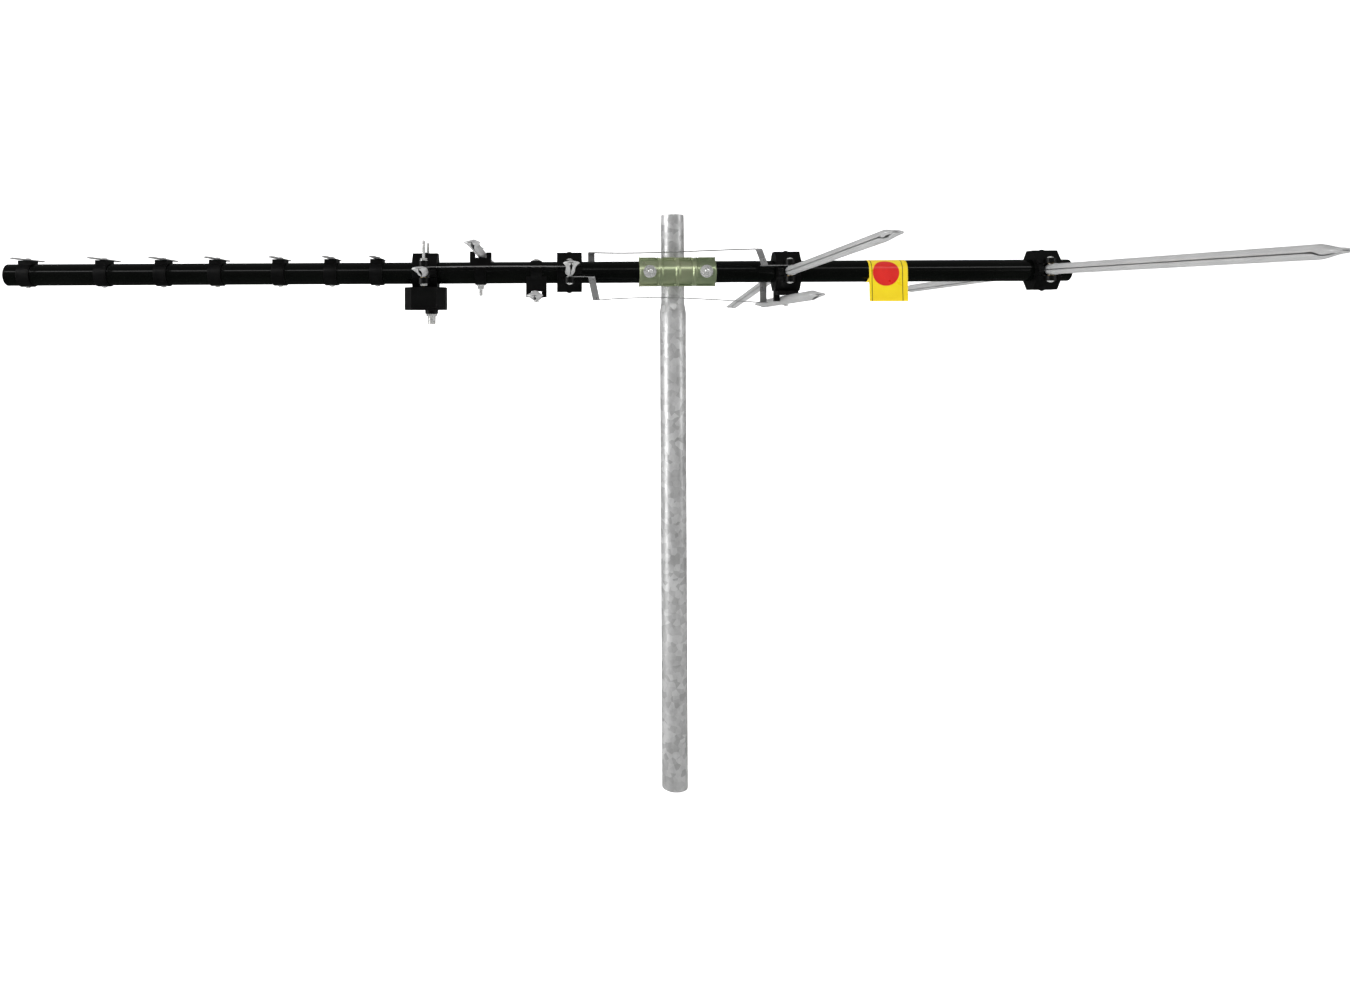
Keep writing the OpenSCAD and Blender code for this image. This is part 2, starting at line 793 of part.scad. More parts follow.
// ---- Balun ----
module housing_outline(inset) {
    a = block_len / 2 - inset * 0.6;
    b = housing_len / 2 - inset;
    c = block_depth / 2 - inset;
    polygon([[-a, -c], [a, -c], [b, -10], [b, 10], [a, c], [-a, c], [-b, 10], [-b, -10]]);
}

module housing_body() {
    low = -housing_low;
    difference() {
        union() {
            intersection() {
                prism_x(block_len) block_outline();
                translate([-50, -50, -housing_z - 1]) cube([100, 100, housing_z + 1 - part_line]);
            }
            for (s = [-1, 1]) translate([0, s * pivot_y, -boss_top])
                cylinder(r = boss_r, h = boss_top - part_line);
            translate([0, 0, low]) linear_extrude(housing_h) housing_outline(0);
        }
        block_room(tube_r, -1);
        mirror([0, 0, 1]) head_seats(nut_h);
        translate([0, 0, low - 1]) linear_extrude(housing_h - housing_wall + 1) housing_outline(housing_wall);
        for (s = [-1, 1]) translate([0, s * (pivot_y - 2), -30]) cylinder(r = 0.9, h = 15);
        translate([-7, -block_depth / 2 - 1, -29.5]) cube([14, 1 + latch_depth, 5.5]);
    }
    for (s = [-1, 1], t = [-1, 1]) translate([s * 9, t * 14, -board_z])
        cylinder(r = 2, h = board_z - housing_z - housing_wall + eps);
}

module balun_housing() {
    color([0.08, 0.08, 0.08]) on_boom() translate([feed_x, 0, 0]) housing_body();
}

module balun_cover() {
    color([0.2, 0.2, 0.2]) on_boom() difference() {
        union() {
            translate([feed_x, 0, -cover_low]) linear_extrude(cover_t) housing_outline(0);
            translate([connector_x, 0, -boss_low]) cylinder(r = 7.6, h = boss_low - cover_low + eps);
        }
        translate([connector_x, 0, -60]) cylinder(r = connector_d / 2 + 0.05, h = 60);
    }
}

module balun_board() {
    color("darkgreen") on_boom() translate([feed_x, 0, -board_z - board_t]) difference() {
        translate([-12, -18.5, 0]) cube([24, 37, board_t]);
        translate([connector_shift, 0, -1]) cylinder(r = 0.65, h = 4);
        for (s = [-1, 1]) translate([0, s * (pivot_y - 2), -1]) cylinder(r = 0.65, h = 4);
    }
}

module balun_core() {
    color([0.15, 0.15, 0.16]) on_boom() translate([feed_x - 4, 0, -board_z - board_t - 5])
        rotate_extrude() translate([2.4, 0]) square([3, 5]);
}

module balun_leads() {
    top = -boss_top - 2.6;
    color("peru") on_boom() for (s = [-1, 1]) translate([feed_x, s * (pivot_y - 2), -board_z - board_t])
        cylinder(r = 0.6, h = board_z + board_t + top);
}

module coax_connector() {
    color("gainsboro") on_boom() translate([connector_x, 0, -thread_low]) difference() {
        union() {
            cylinder(r = connector_d / 2, h = connector_len);
            cylinder(r = connector_d / 2 - thread_relief, h = thread_low - housing_low);
            translate([0, 0, thread_low - housing_low]) cylinder(r = 6, h = 1.5);
        }
        translate([0, 0, -1]) cylinder(r = 3.3, h = 40);
    }
}

module connector_nut() {
    color("silver") on_boom() translate([connector_x, 0, -nut_low]) difference() {
        cylinder(d = 13, h = nut_low - boss_low, $fn = 6);
        translate([0, 0, -1]) cylinder(r = connector_d / 2 + 0.05, h = 8);
    }
}

module connector_insulator() {
    color("white") on_boom() translate([connector_x, 0, -thread_low + 1]) difference() {
        cylinder(r = 3.25, h = thread_low - housing_low);
        translate([0, 0, -1]) cylinder(r = 0.65, h = 40);
    }
}

module connector_contact() {
    color("gold") on_boom() translate([connector_x, 0, -thread_low + 2])
        cylinder(r = 0.6, h = thread_low - 2 - board_z);
}

// ---- Tag ----
module tag() {
    r0 = boom_r + 0.05;
    color("gold") on_boom() translate([tag_at + tag_len / 2, 0, 0]) {
        difference() {
            bar_x(r0 + tag_t, -tag_len / 2, tag_len / 2, $fn = 96);
            bar_x(r0, -tag_len, tag_len, $fn = 96);
        }
        box_between([-tag_len / 2, -r0 - tag_t, -tag_drop], [tag_len / 2, -r0, 0]);
    }
}

mast_tube();
boom_tube();
boom_plugs();
clamp_saddle();
clamp_cradle();
clamp_rear_jaw();
clamp_bolts();
clamp_nuts();
director_clips();
director_rivets();
director(1);  // director_1
director(2);  // director_2
director(3);  // director_3
director(4);  // director_4
director(5);  // director_5
director(6);  // director_6
director(7);  // director_7
feed_block_upper();
uhf_block_upper();
uhf_block_lower();
vhf_block_upper();
vhf_block_lower();
reflector_block_upper();
reflector_block_lower();
block_screws();
pivot_rivets();
pivot_washers();
terminal_studs();
terminal_nuts();
balun_housing();
balun_cover();
balun_board();
balun_core();
balun_leads();
coax_connector();
connector_nut();
connector_insulator();
connector_contact();
feed_half_near();
feed_half_far();
uhf_half_near();
uhf_half_far();
vhf_half_near();
vhf_half_far();
reflector_half_near();
reflector_half_far();
upper_insulator();
lower_insulator();
rear_insulator();
upper_element();
lower_element();
rear_element();
element_bolts();
element_nuts();
phase_front_near();
phase_front_far();
phase_over();
phase_under();
tag();
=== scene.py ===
# %% [markdown]
# # A television yagi on a mast
# The antenna stands on a galvanised mast: a long black boom, seven strap directors, four pairs of folding
# elements on moulded blocks, three short elements on bolts, a balun with its coaxial connector, crossing
# phasing straps and a pressed clamp. The CAD model is loaded first. It is the frame that every surface
# made here is fitted to, and each piece rides on the CAD body that it belongs to.

import json

import bmesh
import bpy
import numpy as np
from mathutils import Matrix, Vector


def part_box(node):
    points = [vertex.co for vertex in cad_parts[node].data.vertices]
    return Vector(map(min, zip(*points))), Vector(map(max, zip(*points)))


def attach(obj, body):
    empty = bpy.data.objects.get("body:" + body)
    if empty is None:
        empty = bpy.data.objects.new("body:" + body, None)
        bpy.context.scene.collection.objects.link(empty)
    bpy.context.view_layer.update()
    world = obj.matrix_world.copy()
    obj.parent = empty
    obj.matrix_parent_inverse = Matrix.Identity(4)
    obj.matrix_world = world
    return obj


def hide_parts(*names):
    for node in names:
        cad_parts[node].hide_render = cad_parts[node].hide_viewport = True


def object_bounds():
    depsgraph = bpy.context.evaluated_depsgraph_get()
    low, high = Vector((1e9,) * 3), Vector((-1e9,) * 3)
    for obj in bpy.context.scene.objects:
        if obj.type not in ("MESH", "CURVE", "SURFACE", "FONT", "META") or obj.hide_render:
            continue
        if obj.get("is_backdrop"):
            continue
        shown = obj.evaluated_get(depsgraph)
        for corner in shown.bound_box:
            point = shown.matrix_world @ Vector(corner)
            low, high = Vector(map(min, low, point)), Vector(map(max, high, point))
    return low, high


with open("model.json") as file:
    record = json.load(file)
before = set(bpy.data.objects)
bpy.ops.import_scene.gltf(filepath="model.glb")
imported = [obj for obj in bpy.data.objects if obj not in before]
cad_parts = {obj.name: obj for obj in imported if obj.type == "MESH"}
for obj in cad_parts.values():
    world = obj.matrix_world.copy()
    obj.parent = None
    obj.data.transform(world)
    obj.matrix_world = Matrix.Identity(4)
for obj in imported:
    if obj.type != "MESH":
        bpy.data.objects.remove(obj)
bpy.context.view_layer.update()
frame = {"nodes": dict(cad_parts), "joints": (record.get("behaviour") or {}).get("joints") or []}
mm = 0.001
pivot_of = {joint["child"]: np.array(joint["pos_m"]) for joint in frame["joints"]}

# %% [markdown]
# ## The sizes that the surfaces share
# A maker measures from the boom: its axis, its radius and the places of the blocks along it. All of these
# are read from the boxes of the CAD nodes, so a surface can't drift away from the part it stands for.

# %% Read the main sizes
def node_box(name):
    """The lowest and highest corner of a CAD node, as two arrays in metres."""
    low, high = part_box(name)
    return np.array(low), np.array(high)


boom_low, boom_high = node_box("boom_tube")
boom_middle = (boom_low + boom_high) / 2
boom_r = float(boom_high[2] - boom_low[2]) / 2
block_x = {key: float(pivot_of[f"{key}_half_near"][0]) for key in ("feed", "uhf", "vhf", "reflector")}
pivot_y = float(abs(pivot_of["feed_half_near"][1] - boom_middle[1]))
tube_r = 5.25 * mm
reflector_r = 6.0 * mm
print(f"boom radius {boom_r / mm:.1f} mm, pivots {pivot_y / mm:.1f} mm out, blocks at",
      {key: round(x / mm, 1) for key, x in block_x.items()})

# %% [markdown]
# ## Camera
# The object is seen square to the boom from a metre away, with the lens a little below the boom. A small
# roll tips the whole view by a quarter of a degree, because the boom rises slightly to the right there.

# %% Place the camera
view = bpy.data.cameras.new("view")
view.sensor_width = 36.0
view.lens = 24.85
view.shift_x = 0.0919
view.shift_y = -0.1327
view.clip_start = 0.05
view.clip_end = 30.0
camera = bpy.data.objects.new("camera", view)
camera.location = (-0.1486, -1.136, 0.568)
camera.rotation_euler = (np.pi / 2, np.radians(0.27), 0.0)
bpy.context.scene.collection.objects.link(camera)
bpy.context.scene.camera = camera
print(f"camera at {tuple(round(c, 3) for c in camera.location)}, lens {view.lens} mm")

# %% [markdown]
# ## Helpers for surfaces
# Nearly every piece here is a row of rings: a closed or open outline that is carried along a path and may
# change on the way. The points are worked out as whole arrays, and one function turns them into a mesh
# whose faces look outwards. Another copies a CAD node, merges its loose triangles and eases its edges.

# %% Surfaces from rings
def ease(x, low, high):
    """0 below low, 1 above high, and three times the square less twice the cube of the share between."""
    share = np.clip((np.asarray(x, float) - low) / (high - low), 0.0, 1.0)
    return share * share * (3.0 - 2.0 * share)


def smooth_mesh(mesh, angle):
    """Smooth shading everywhere except across edges that turn by more than the angle, in degrees."""
    mesh.shade_smooth()
    mesh.set_sharp_from_angle(angle=np.radians(angle))


def skin(name, rings, closed=True, capped=True, angle=35.0):
    """A mesh over rings[row, column]: four points that are neighbours make one face. The columns are
    turned round if the cross product of a step round and a step along points at a ring's middle."""
    rings = np.asarray(rings, float)
    rows, columns = rings.shape[:2]
    middle = rings.mean(axis=1, keepdims=True)
    side = np.cross(np.roll(rings, -1, axis=1) - rings, np.gradient(rings, axis=0))
    if float(np.sum((side * (rings - middle))[:, :-1])) < 0:
        rings = rings[:, ::-1]
    i, j = np.meshgrid(np.arange(rows - 1), np.arange(columns if closed else columns - 1), indexing="ij")
    k = (j + 1) % columns
    corners = [i * columns + j, i * columns + k, (i + 1) * columns + k, (i + 1) * columns + j]
    faces = np.stack(corners, axis=-1).reshape(-1, 4).tolist()
    if closed and capped:
        faces += [list(range(columns))[::-1], list(range((rows - 1) * columns, rows * columns))]
    mesh = bpy.data.meshes.new(name)
    mesh.from_pydata(rings.reshape(-1, 3).tolist(), [], faces)
    mesh.update()
    smooth_mesh(mesh, angle)
    piece = bpy.data.objects.new(name, mesh)
    bpy.context.scene.collection.objects.link(piece)
    return piece


def revolve(profile, centre, axis=2, columns=64):
    """Turns a profile of (radius, height) pairs about a line through the centre: each point goes round
    a circle of its radius. Returns rings that run along the profile."""
    profile = np.asarray(profile, float)
    turn = np.linspace(0.0, 2 * np.pi, columns, endpoint=False)
    rings = np.zeros((len(profile), columns, 3))
    across = [k for k in range(3) if k != axis]
    rings[..., across[0]] = profile[:, :1] * np.cos(turn)
    rings[..., across[1]] = profile[:, :1] * np.sin(turn)
    rings[..., axis] = profile[:, 1:]
    return rings + np.asarray(centre, float)


def dress(piece, material, body, replaced=()):
    """Gives a new piece its material, the body it rides on and the CAD nodes it stands for."""
    piece.data.materials.clear()
    piece.data.materials.append(material)
    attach(piece, body)
    if replaced:
        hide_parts(*replaced)
    return piece


def thicken(piece, thickness):
    """Grows a wall inwards from the surface, as thick as given, with a rim at its open edges."""
    wall = piece.modifiers.new("wall", "SOLIDIFY")
    wall.thickness = thickness
    wall.offset = -1.0
    wall.use_even_offset = False
    return piece


def soften(piece, width, segments=2, angle=32.0):
    """Rounds every edge that turns by more than the angle, as a mould or a press does."""
    bevel = piece.modifiers.new("edges", "BEVEL")
    bevel.width = width
    bevel.segments = segments
    bevel.limit_method = "ANGLE"
    bevel.angle_limit = np.radians(angle)
    bevel.use_clamp_overlap = True
    bevel.harden_normals = False
    return piece


def refine(node, material, body="boom", width=0.35 * mm, segments=2, suffix="finished"):
    """A copy of a CAD node with its triangles merged, its flat faces made whole and its edges eased."""
    mesh = frame["nodes"][node].data.copy()
    mesh.name = f"{node}_{suffix}"
    work = bmesh.new()
    work.from_mesh(mesh)
    bmesh.ops.remove_doubles(work, verts=work.verts, dist=2e-6)
    bmesh.ops.dissolve_limit(work, angle_limit=np.radians(0.5), verts=work.verts, edges=work.edges)
    work.to_mesh(mesh)
    work.free()
    if mesh.attributes.get("custom_normal"):
        mesh.attributes.remove(mesh.attributes["custom_normal"])
    smooth_mesh(mesh, 28.0)
    piece = bpy.data.objects.new(mesh.name, mesh)
    bpy.context.scene.collection.objects.link(piece)
    if width:
        soften(piece, width, segments)
    return dress(piece, material, body, [node])


print("surface helpers ready")

# %% [markdown]
# ## Floor, backdrop and light
# A studio cove is one sheet that runs forward as the floor and bends up as the backdrop. It is nearly white
# and takes no part in reflections, and nor does the broad lamp overhead, so the boom's gloss shows only the
# lamps in front and at the sides. The lamps are a long
# strip in front and above, which draws the thin line of light along the boom, a broad one overhead and two
# tall ones at the sides, which model the tubes and the facets of the blocks.

# %% Build the cove and the lamps
def cove(name, half_width, near, far, height, bend, floor_z):
    """The profile goes along the floor, round a quarter circle of radius bend and straight up. Each of
    its points is carried straight across from one side to the other."""
    turn = np.linspace(0.0, np.pi / 2, 24)
    curve = np.stack([far - bend + bend * np.sin(turn), floor_z + bend - bend * np.cos(turn)], axis=-1)
    profile = np.concatenate([[[near, floor_z]], curve, [[far, height]]])
    across = np.linspace(-half_width, half_width, 5)
    points = np.zeros((len(profile), len(across), 3))
    points[..., 0] = across
    points[..., 1:] = profile[:, None, :]
    return skin(name, points, closed=False, angle=80.0)


floor = cove("studio_cove", 7.0, -5.0, 3.2, 6.0, 1.2, 0.0)
pale = bpy.data.materials.new("pale_cove")
pale.use_nodes = True
pale_shader = pale.node_tree.nodes["Principled BSDF"]
pale_shader.inputs["Base Color"].default_value = (0.86, 0.86, 0.86, 1.0)
pale_shader.inputs["Roughness"].default_value = 0.9
pale_shader.inputs["Emission Color"].default_value = (1.0, 1.0, 1.0, 1.0)
pale_shader.inputs["Emission Strength"].default_value = 0.80
floor.data.materials.append(pale)
floor.visible_glossy = False
floor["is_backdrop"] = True


def lamp(name, place, aim, width, height, power):
    """A flat lamp of width by height, turned so that it shines from its place towards its aim."""
    light = bpy.data.lights.new(name, "AREA")
    light.shape = "RECTANGLE"
    light.size, light.size_y = width, height
    light.energy = power
    holder = bpy.data.objects.new(name, light)
    holder.location = place
    away = Vector(place) - Vector(aim)
    holder.rotation_euler = away.to_track_quat("Z", "Y").to_euler()
    bpy.context.scene.collection.objects.link(holder)
    return holder


heart = (-0.15, -0.036, 0.6)
lamp("strip_front", (-0.15, -1.95, 1.96), heart, 6.0, 0.30, 20.0)
roof = lamp("roof", (-0.2, 0.3, 3.2), heart, 4.5, 2.2, 60.0)
roof.visible_glossy = False
lamp("left_wall", (-3.2, -0.9, 0.9), heart, 1.6, 2.6, 60.0)
lamp("right_wall", (3.0, -1.2, 1.1), heart, 0.9, 2.4, 18.0)

world = bpy.data.worlds.new("studio")
bpy.context.scene.world = world
world.use_nodes = True
sky = world.node_tree
sky_shade = sky.nodes["Background"]
direction = sky.nodes.new("ShaderNodeTexCoord")
height_of = sky.nodes.new("ShaderNodeSeparateXYZ")
sky_ramp = sky.nodes.new("ShaderNodeValToRGB")
shift = sky.nodes.new("ShaderNodeMapRange")
shift.inputs["From Min"].default_value = -1.0
sky.links.new(direction.outputs["Generated"], height_of.inputs[0])
sky.links.new(height_of.outputs["Z"], shift.inputs["Value"])
sky.links.new(shift.outputs["Result"], sky_ramp.inputs["Fac"])
sky.links.new(sky_ramp.outputs["Color"], sky_shade.inputs["Color"])
sky_ramp.color_ramp.elements[0].position = 0.30
sky_ramp.color_ramp.elements[0].color = (0.05, 0.055, 0.05, 1.0)
sky_ramp.color_ramp.elements[1].position = 0.72
sky_ramp.color_ramp.elements[1].color = (0.13, 0.13, 0.13, 1.0)
sky_shade.inputs["Strength"].default_value = 1.0
bpy.context.scene.view_settings.view_transform = "Standard"
bpy.context.scene.view_settings.look = "None"
print("cove, four lamps and a graded sky")

# %% [markdown]
# ## Finishes
# Each finish is one shader with a few patterns in front of it. The patterns read Object coordinates, in
# metres, so their scale is the real scale: a spangle of zinc is about a centimetre across, and the lines
# that drawing leaves on a tube are a tenth of a millimetre apart and as long as the tube. A maker would
# check three things on each one: how much the colour varies, how rough it is, and what its edges do.

# %% Building blocks for finishes
def new_finish(name, **constants):
    """A material whose shader has these constants on its own sockets."""
    material = bpy.data.materials.new(name)
    material.use_nodes = True
    shader = material.node_tree.nodes["Principled BSDF"]
    for socket, value in constants.items():
        shader.inputs[socket.replace("_", " ")].default_value = value
    return material


def place_of(material, stretch=(1.0, 1.0, 1.0)):
    """Object coordinates, multiplied by a stretch along each axis."""
    tree = material.node_tree
    where = tree.nodes.new("ShaderNodeTexCoord")
    scaled = tree.nodes.new("ShaderNodeMapping")
    scaled.inputs["Scale"].default_value = stretch
    tree.links.new(where.outputs["Object"], scaled.inputs["Vector"])
    return scaled.outputs["Vector"]


def noise(material, vector, scale, detail=3.0, roughness=0.55):
    """Soft random clouds; scale is how many of them there are to a metre."""
    node = material.node_tree.nodes.new("ShaderNodeTexNoise")
    node.inputs["Scale"].default_value = scale
    node.inputs["Detail"].default_value = detail
    node.inputs["Roughness"].default_value = roughness
    material.node_tree.links.new(vector, node.inputs["Vector"])
    return node.outputs["Fac"]


def crystals(material, vector, scale, output="Color"):
    """Random cells with straight borders, as zinc grows them; scale is cells to a metre."""
    node = material.node_tree.nodes.new("ShaderNodeTexVoronoi")
    node.inputs["Scale"].default_value = scale
    material.node_tree.links.new(vector, node.inputs["Vector"])
    return node.outputs[output]


def ramp(material, value, *stops):
    """Turns a value into a colour through stops of (place, colour)."""
    node = material.node_tree.nodes.new("ShaderNodeValToRGB")
    points = node.color_ramp.elements
    while len(points) < len(stops):
        points.new(0.5)
    for point, (place, colour) in zip(points, stops):
        point.position = place
        point.color = (*colour, 1.0)
    material.node_tree.links.new(value, node.inputs["Fac"])
    return node.outputs["Color"]


def level(material, value, low, high, start=0.3, end=0.7):
    """Carries a value between start and end to one between low and high."""
    node = material.node_tree.nodes.new("ShaderNodeMapRange")
    node.inputs["From Min"].default_value = start
    node.inputs["From Max"].default_value = end
    node.inputs["To Min"].default_value = low
    node.inputs["To Max"].default_value = high
    material.node_tree.links.new(value, node.inputs["Value"])
    return node.outputs["Result"]


def mixed(material, share, first, second, how="MIX"):
    """Blends two colours by a share, or multiplies the first by the second."""
    node = material.node_tree.nodes.new("ShaderNodeMix")
    node.data_type = "RGBA"
    node.blend_type = how
    links = material.node_tree.links
    if isinstance(share, float):
        node.inputs["Factor"].default_value = share
    else:
        links.new(share, node.inputs["Factor"])
    for socket, source in (("A", first), ("B", second)):
        target = [s for s in node.inputs if s.name == socket and s.type == "RGBA"][0]
        if isinstance(source, tuple):
            target.default_value = (*source, 1.0)
        else:
            links.new(source, target)
    return [s for s in node.outputs if s.type == "RGBA"][0]


def wire(material, colour=None, rough=None, height=None, depth=0.0001, strength=0.5):
    """Joins a colour, a roughness and a height, as a bump of that depth in metres, to the shader."""
    tree = material.node_tree
    shader = tree.nodes["Principled BSDF"]
    if colour is not None:
        tree.links.new(colour, shader.inputs["Base Color"])
    if rough is not None:
        tree.links.new(rough, shader.inputs["Roughness"])
    if height is not None:
        bump = tree.nodes.new("ShaderNodeBump")
        bump.inputs["Distance"].default_value = depth
        bump.inputs["Strength"].default_value = strength
        tree.links.new(height, bump.inputs["Height"])
        tree.links.new(bump.outputs["Normal"], shader.inputs["Normal"])
    return material


def grey(value):
    """The same value for red, green and blue."""
    return (value, value, value)


# %% [markdown]
# The boom has a gloss black coat. It isn't flawless: the coat is a little uneven, like the skin of an
# orange, faint lines of the drawn tube show through along X, and handling has dulled it in places.
# The mouldings are a satin black plastic with a fine spark-eroded grain and slightly cloudy colour.

# %% Black finishes
boom_black = new_finish("boom_black", IOR=1.45, Specular_IOR_Level=0.3)
spot = place_of(boom_black)
along_x = place_of(boom_black, (3.0, 900.0, 900.0))
wire(boom_black,
     ramp(boom_black, noise(boom_black, spot, 14.0),
          (0.3, (0.0010, 0.0013, 0.0011)), (0.7, (0.0024, 0.0028, 0.0024))),
     level(boom_black, noise(boom_black, spot, 55.0, 5.0), 0.09, 0.16),
     noise(boom_black, along_x, 1.0, 2.0), 0.00002, 0.15)

moulding = new_finish("black_moulding", IOR=1.45, Specular_IOR_Level=0.22)
spot = place_of(moulding)
wire(moulding,
     ramp(moulding, noise(moulding, spot, 60.0, 4.0), (0.3, grey(0.0014)), (0.7, grey(0.0036))),
     level(moulding, noise(moulding, spot, 160.0, 5.0), 0.30, 0.44),
     noise(moulding, spot, 2600.0, 3.0), 0.00006, 0.35)
print("boom_black and black_moulding")

# %% [markdown]
# The mast is steel dipped in zinc. The zinc freezes in crystals, each with its own grey and its own
# shine, and weather has left cloudy darker patches over them. The clamp and its ribs are zinc plated and
# passivated yellow: a clear, slightly iridescent gold that runs from cream to olive green.

# %% Zinc finishes
galvanised = new_finish("galvanised", Metallic=0.55)
spot = place_of(galvanised)
patches = noise(galvanised, place_of(galvanised, (1.0, 1.0, 0.55)), 48.0, 6.0, 0.68)
flakes = ramp(galvanised, crystals(galvanised, spot, 150.0), (0.15, grey(0.56)), (0.85, grey(0.82)))
wire(galvanised,
     mixed(galvanised, 1.0, flakes,
           ramp(galvanised, patches, (0.36, grey(0.76)), (0.60, grey(1.0))), "MULTIPLY"),
     level(galvanised, noise(galvanised, spot, 120.0, 4.0), 0.30, 0.50),
     noise(galvanised, spot, 420.0, 5.0), 0.0002, 0.35)

zinc_yellow = new_finish("zinc_yellow", Metallic=0.75)
spot = place_of(zinc_yellow)
clouds = noise(zinc_yellow, spot, 16.0, 2.0)
wire(zinc_yellow,
     ramp(zinc_yellow, clouds,
          (0.30, (0.34, 0.42, 0.25)), (0.5, (0.50, 0.56, 0.35)), (0.70, (0.72, 0.71, 0.52))),
     level(zinc_yellow, noise(zinc_yellow, spot, 60.0, 2.0), 0.27, 0.34),
     noise(zinc_yellow, spot, 900.0, 3.0), 0.00002, 0.12)
print("galvanised and zinc_yellow")

# %% [markdown]
# The elements are rolled from soft aluminium strip and the directors and phasing straps are cut from it.
# Rolling leaves long fine lines, and the surface between them is satin. It is set partly metallic, so it
# takes light from the whole pale room and not from the lamps alone. The lines run along Y on the
# elements and along X on the straps. The straps and the directors are also given a much darker grey than
# the elements: that is painted shade on the same aluminium, not a different metal.

# %% Aluminium and steel finishes
def rolled_aluminium(name, stretch, brightness, rough_low, rough_high):
    """Satin metal with fine lines that run the way the stretch is smallest, and soft cloudy patches."""
    material = new_finish(name, Metallic=0.55)
    place = place_of(material)
    lines = noise(material, place_of(material, stretch), 1.0, 3.0, 0.6)
    tone = ramp(material, lines, (0.3, grey(brightness * 0.86)), (0.7, grey(brightness)))
    cloudy = ramp(material, noise(material, place, 28.0, 4.0), (0.35, grey(0.88)), (0.65, grey(1.0)))
    return wire(material, mixed(material, 1.0, tone, cloudy, "MULTIPLY"),
                level(material, noise(material, place, 75.0, 4.0), rough_low, rough_high),
                lines, 0.00005, 0.3)


element_metal = rolled_aluminium("element_aluminium", (1500.0, 9.0, 1500.0), 0.80, 0.34, 0.46)
# the straps' and directors' grey is darker than the elements' grey: painted shade on the same aluminium
shaded_strap_metal = rolled_aluminium("strap_aluminium", (14.0, 1600.0, 1600.0), 0.38, 0.24, 0.36)
shaded_director_metal = rolled_aluminium("director_aluminium_painted_shade", (1600.0, 14.0, 1600.0), 0.46, 0.26, 0.38)

bright_steel = new_finish("bright_steel", Metallic=0.6)
spot = place_of(bright_steel)
wire(bright_steel,
     ramp(bright_steel, noise(bright_steel, spot, 180.0, 3.0), (0.3, grey(0.72)), (0.7, (0.88, 0.88, 0.86))),
     level(bright_steel, noise(bright_steel, spot, 520.0, 4.0), 0.16, 0.32),
     noise(bright_steel, spot, 1500.0, 3.0), 0.00004, 0.25)
print("two aluminiums, the directors' strip and bright steel")

# %% [markdown]
# The small inner parts show only when the balun is opened, and still get a true finish each: the
# contact washers' darkened brass, the lacquered board, the sintered ferrite and the white insulator.

# %% Inner finishes
def speckled(name, low, high, scale, rough, metallic=0.0):
    """A colour that wanders between two close ones in soft clouds, with a little of it in the surface."""
    material = new_finish(name, Metallic=metallic)
    place = place_of(material)
    cloud = noise(material, place, scale, 4.0)
    return wire(material, ramp(material, cloud, (0.3, low), (0.7, high)),
                level(material, cloud, rough, rough + 0.12), cloud, 0.00005, 0.3)


brass = speckled("brass", (0.15, 0.11, 0.06), (0.24, 0.18, 0.10), 300.0, 0.3, 1.0)
board_green = speckled("board_green", (0.03, 0.17, 0.07), (0.06, 0.27, 0.12), 200.0, 0.3)
ferrite = speckled("ferrite", grey(0.05), grey(0.09), 900.0, 0.6)
white_insulator = speckled("white_insulator", grey(0.78), grey(0.88), 150.0, 0.3)
print("four inner finishes")

# %% [markdown]
# ## The mast
# A real mast is one steel tube whose top end is swaged, which means squeezed between turning dies to a
# smaller diameter, so that it goes into the next tube. The squeezing leaves an S-shaped cone with a slight
# bulge under it, not a straight one. The shape is a profile turned about Z: up the outside, over the rim
# and down the inside.

# %% Turn the mast
mast_low, mast_high = node_box("mast_tube")
mast_r = float(mast_high[0] - mast_low[0]) / 2
swage_r, mast_wall = 13.95 * mm, 1.6 * mm
cone_top = float(mast_high[2]) - 107 * mm
cone_low = cone_top - 12 * mm
height = np.concatenate([np.linspace(mast_low[2], cone_low - 30 * mm, 12),
                         np.linspace(cone_low - 28 * mm, cone_top + 12 * mm, 60),
                         np.linspace(cone_top + 20 * mm, mast_high[2], 10)])
outer = mast_r - (mast_r - swage_r) * ease(height, cone_low - 2 * mm, cone_top + 2 * mm)
outer -= 0.25 * mm * ease(height, cone_low - 6 * mm, cone_low - 26 * mm)
rim = 0.35 * mm * (1 - ease(mast_high[2] - height, 0.0, 1.0 * mm))
up = np.stack([outer - rim, height], axis=-1)
down = np.stack([outer - mast_wall, height], axis=-1)[::-1]
mast_profile = np.concatenate([up, down, up[:1]])
mast = skin("mast", revolve(mast_profile, (0, 0, 0), 2, 96), capped=False)
dress(mast, galvanised, "mast", ["mast_tube"])
print(f"mast radius {outer.max() / mm:.2f} to {outer.min() / mm:.2f} mm")

# %% [markdown]
# ## The boom and its mouldings
# The boom tube, its plugs, the clips and the block shells have the right shape already as CAD solids. A
# copy of each one gets its triangles merged, and all but the boom get their edges eased: a moulding has
# radii of a few tenths of a millimetre everywhere, and they are what catches the light along the blocks.

# %% Finish the boom and the mouldings
refine("boom_tube", boom_black, width=0)
refine("boom_plugs", moulding, width=0.4 * mm)
for node, width in {"director_clips": 0.4, "feed_block_upper": 0.6, "uhf_block_upper": 0.6,
                    "uhf_block_lower": 0.6, "vhf_block_upper": 0.6,
                    "vhf_block_lower": 0.6, "reflector_block_upper": 0.6,
                    "reflector_block_lower": 0.6, "balun_housing": 0.6, "balun_cover": 0.5,
                    "upper_insulator": 0.5, "lower_insulator": 0.5, "rear_insulator": 0.5}.items():
    refine(node, moulding, width=width * mm)
print("boom, plugs, clips, shells and insulators finished")

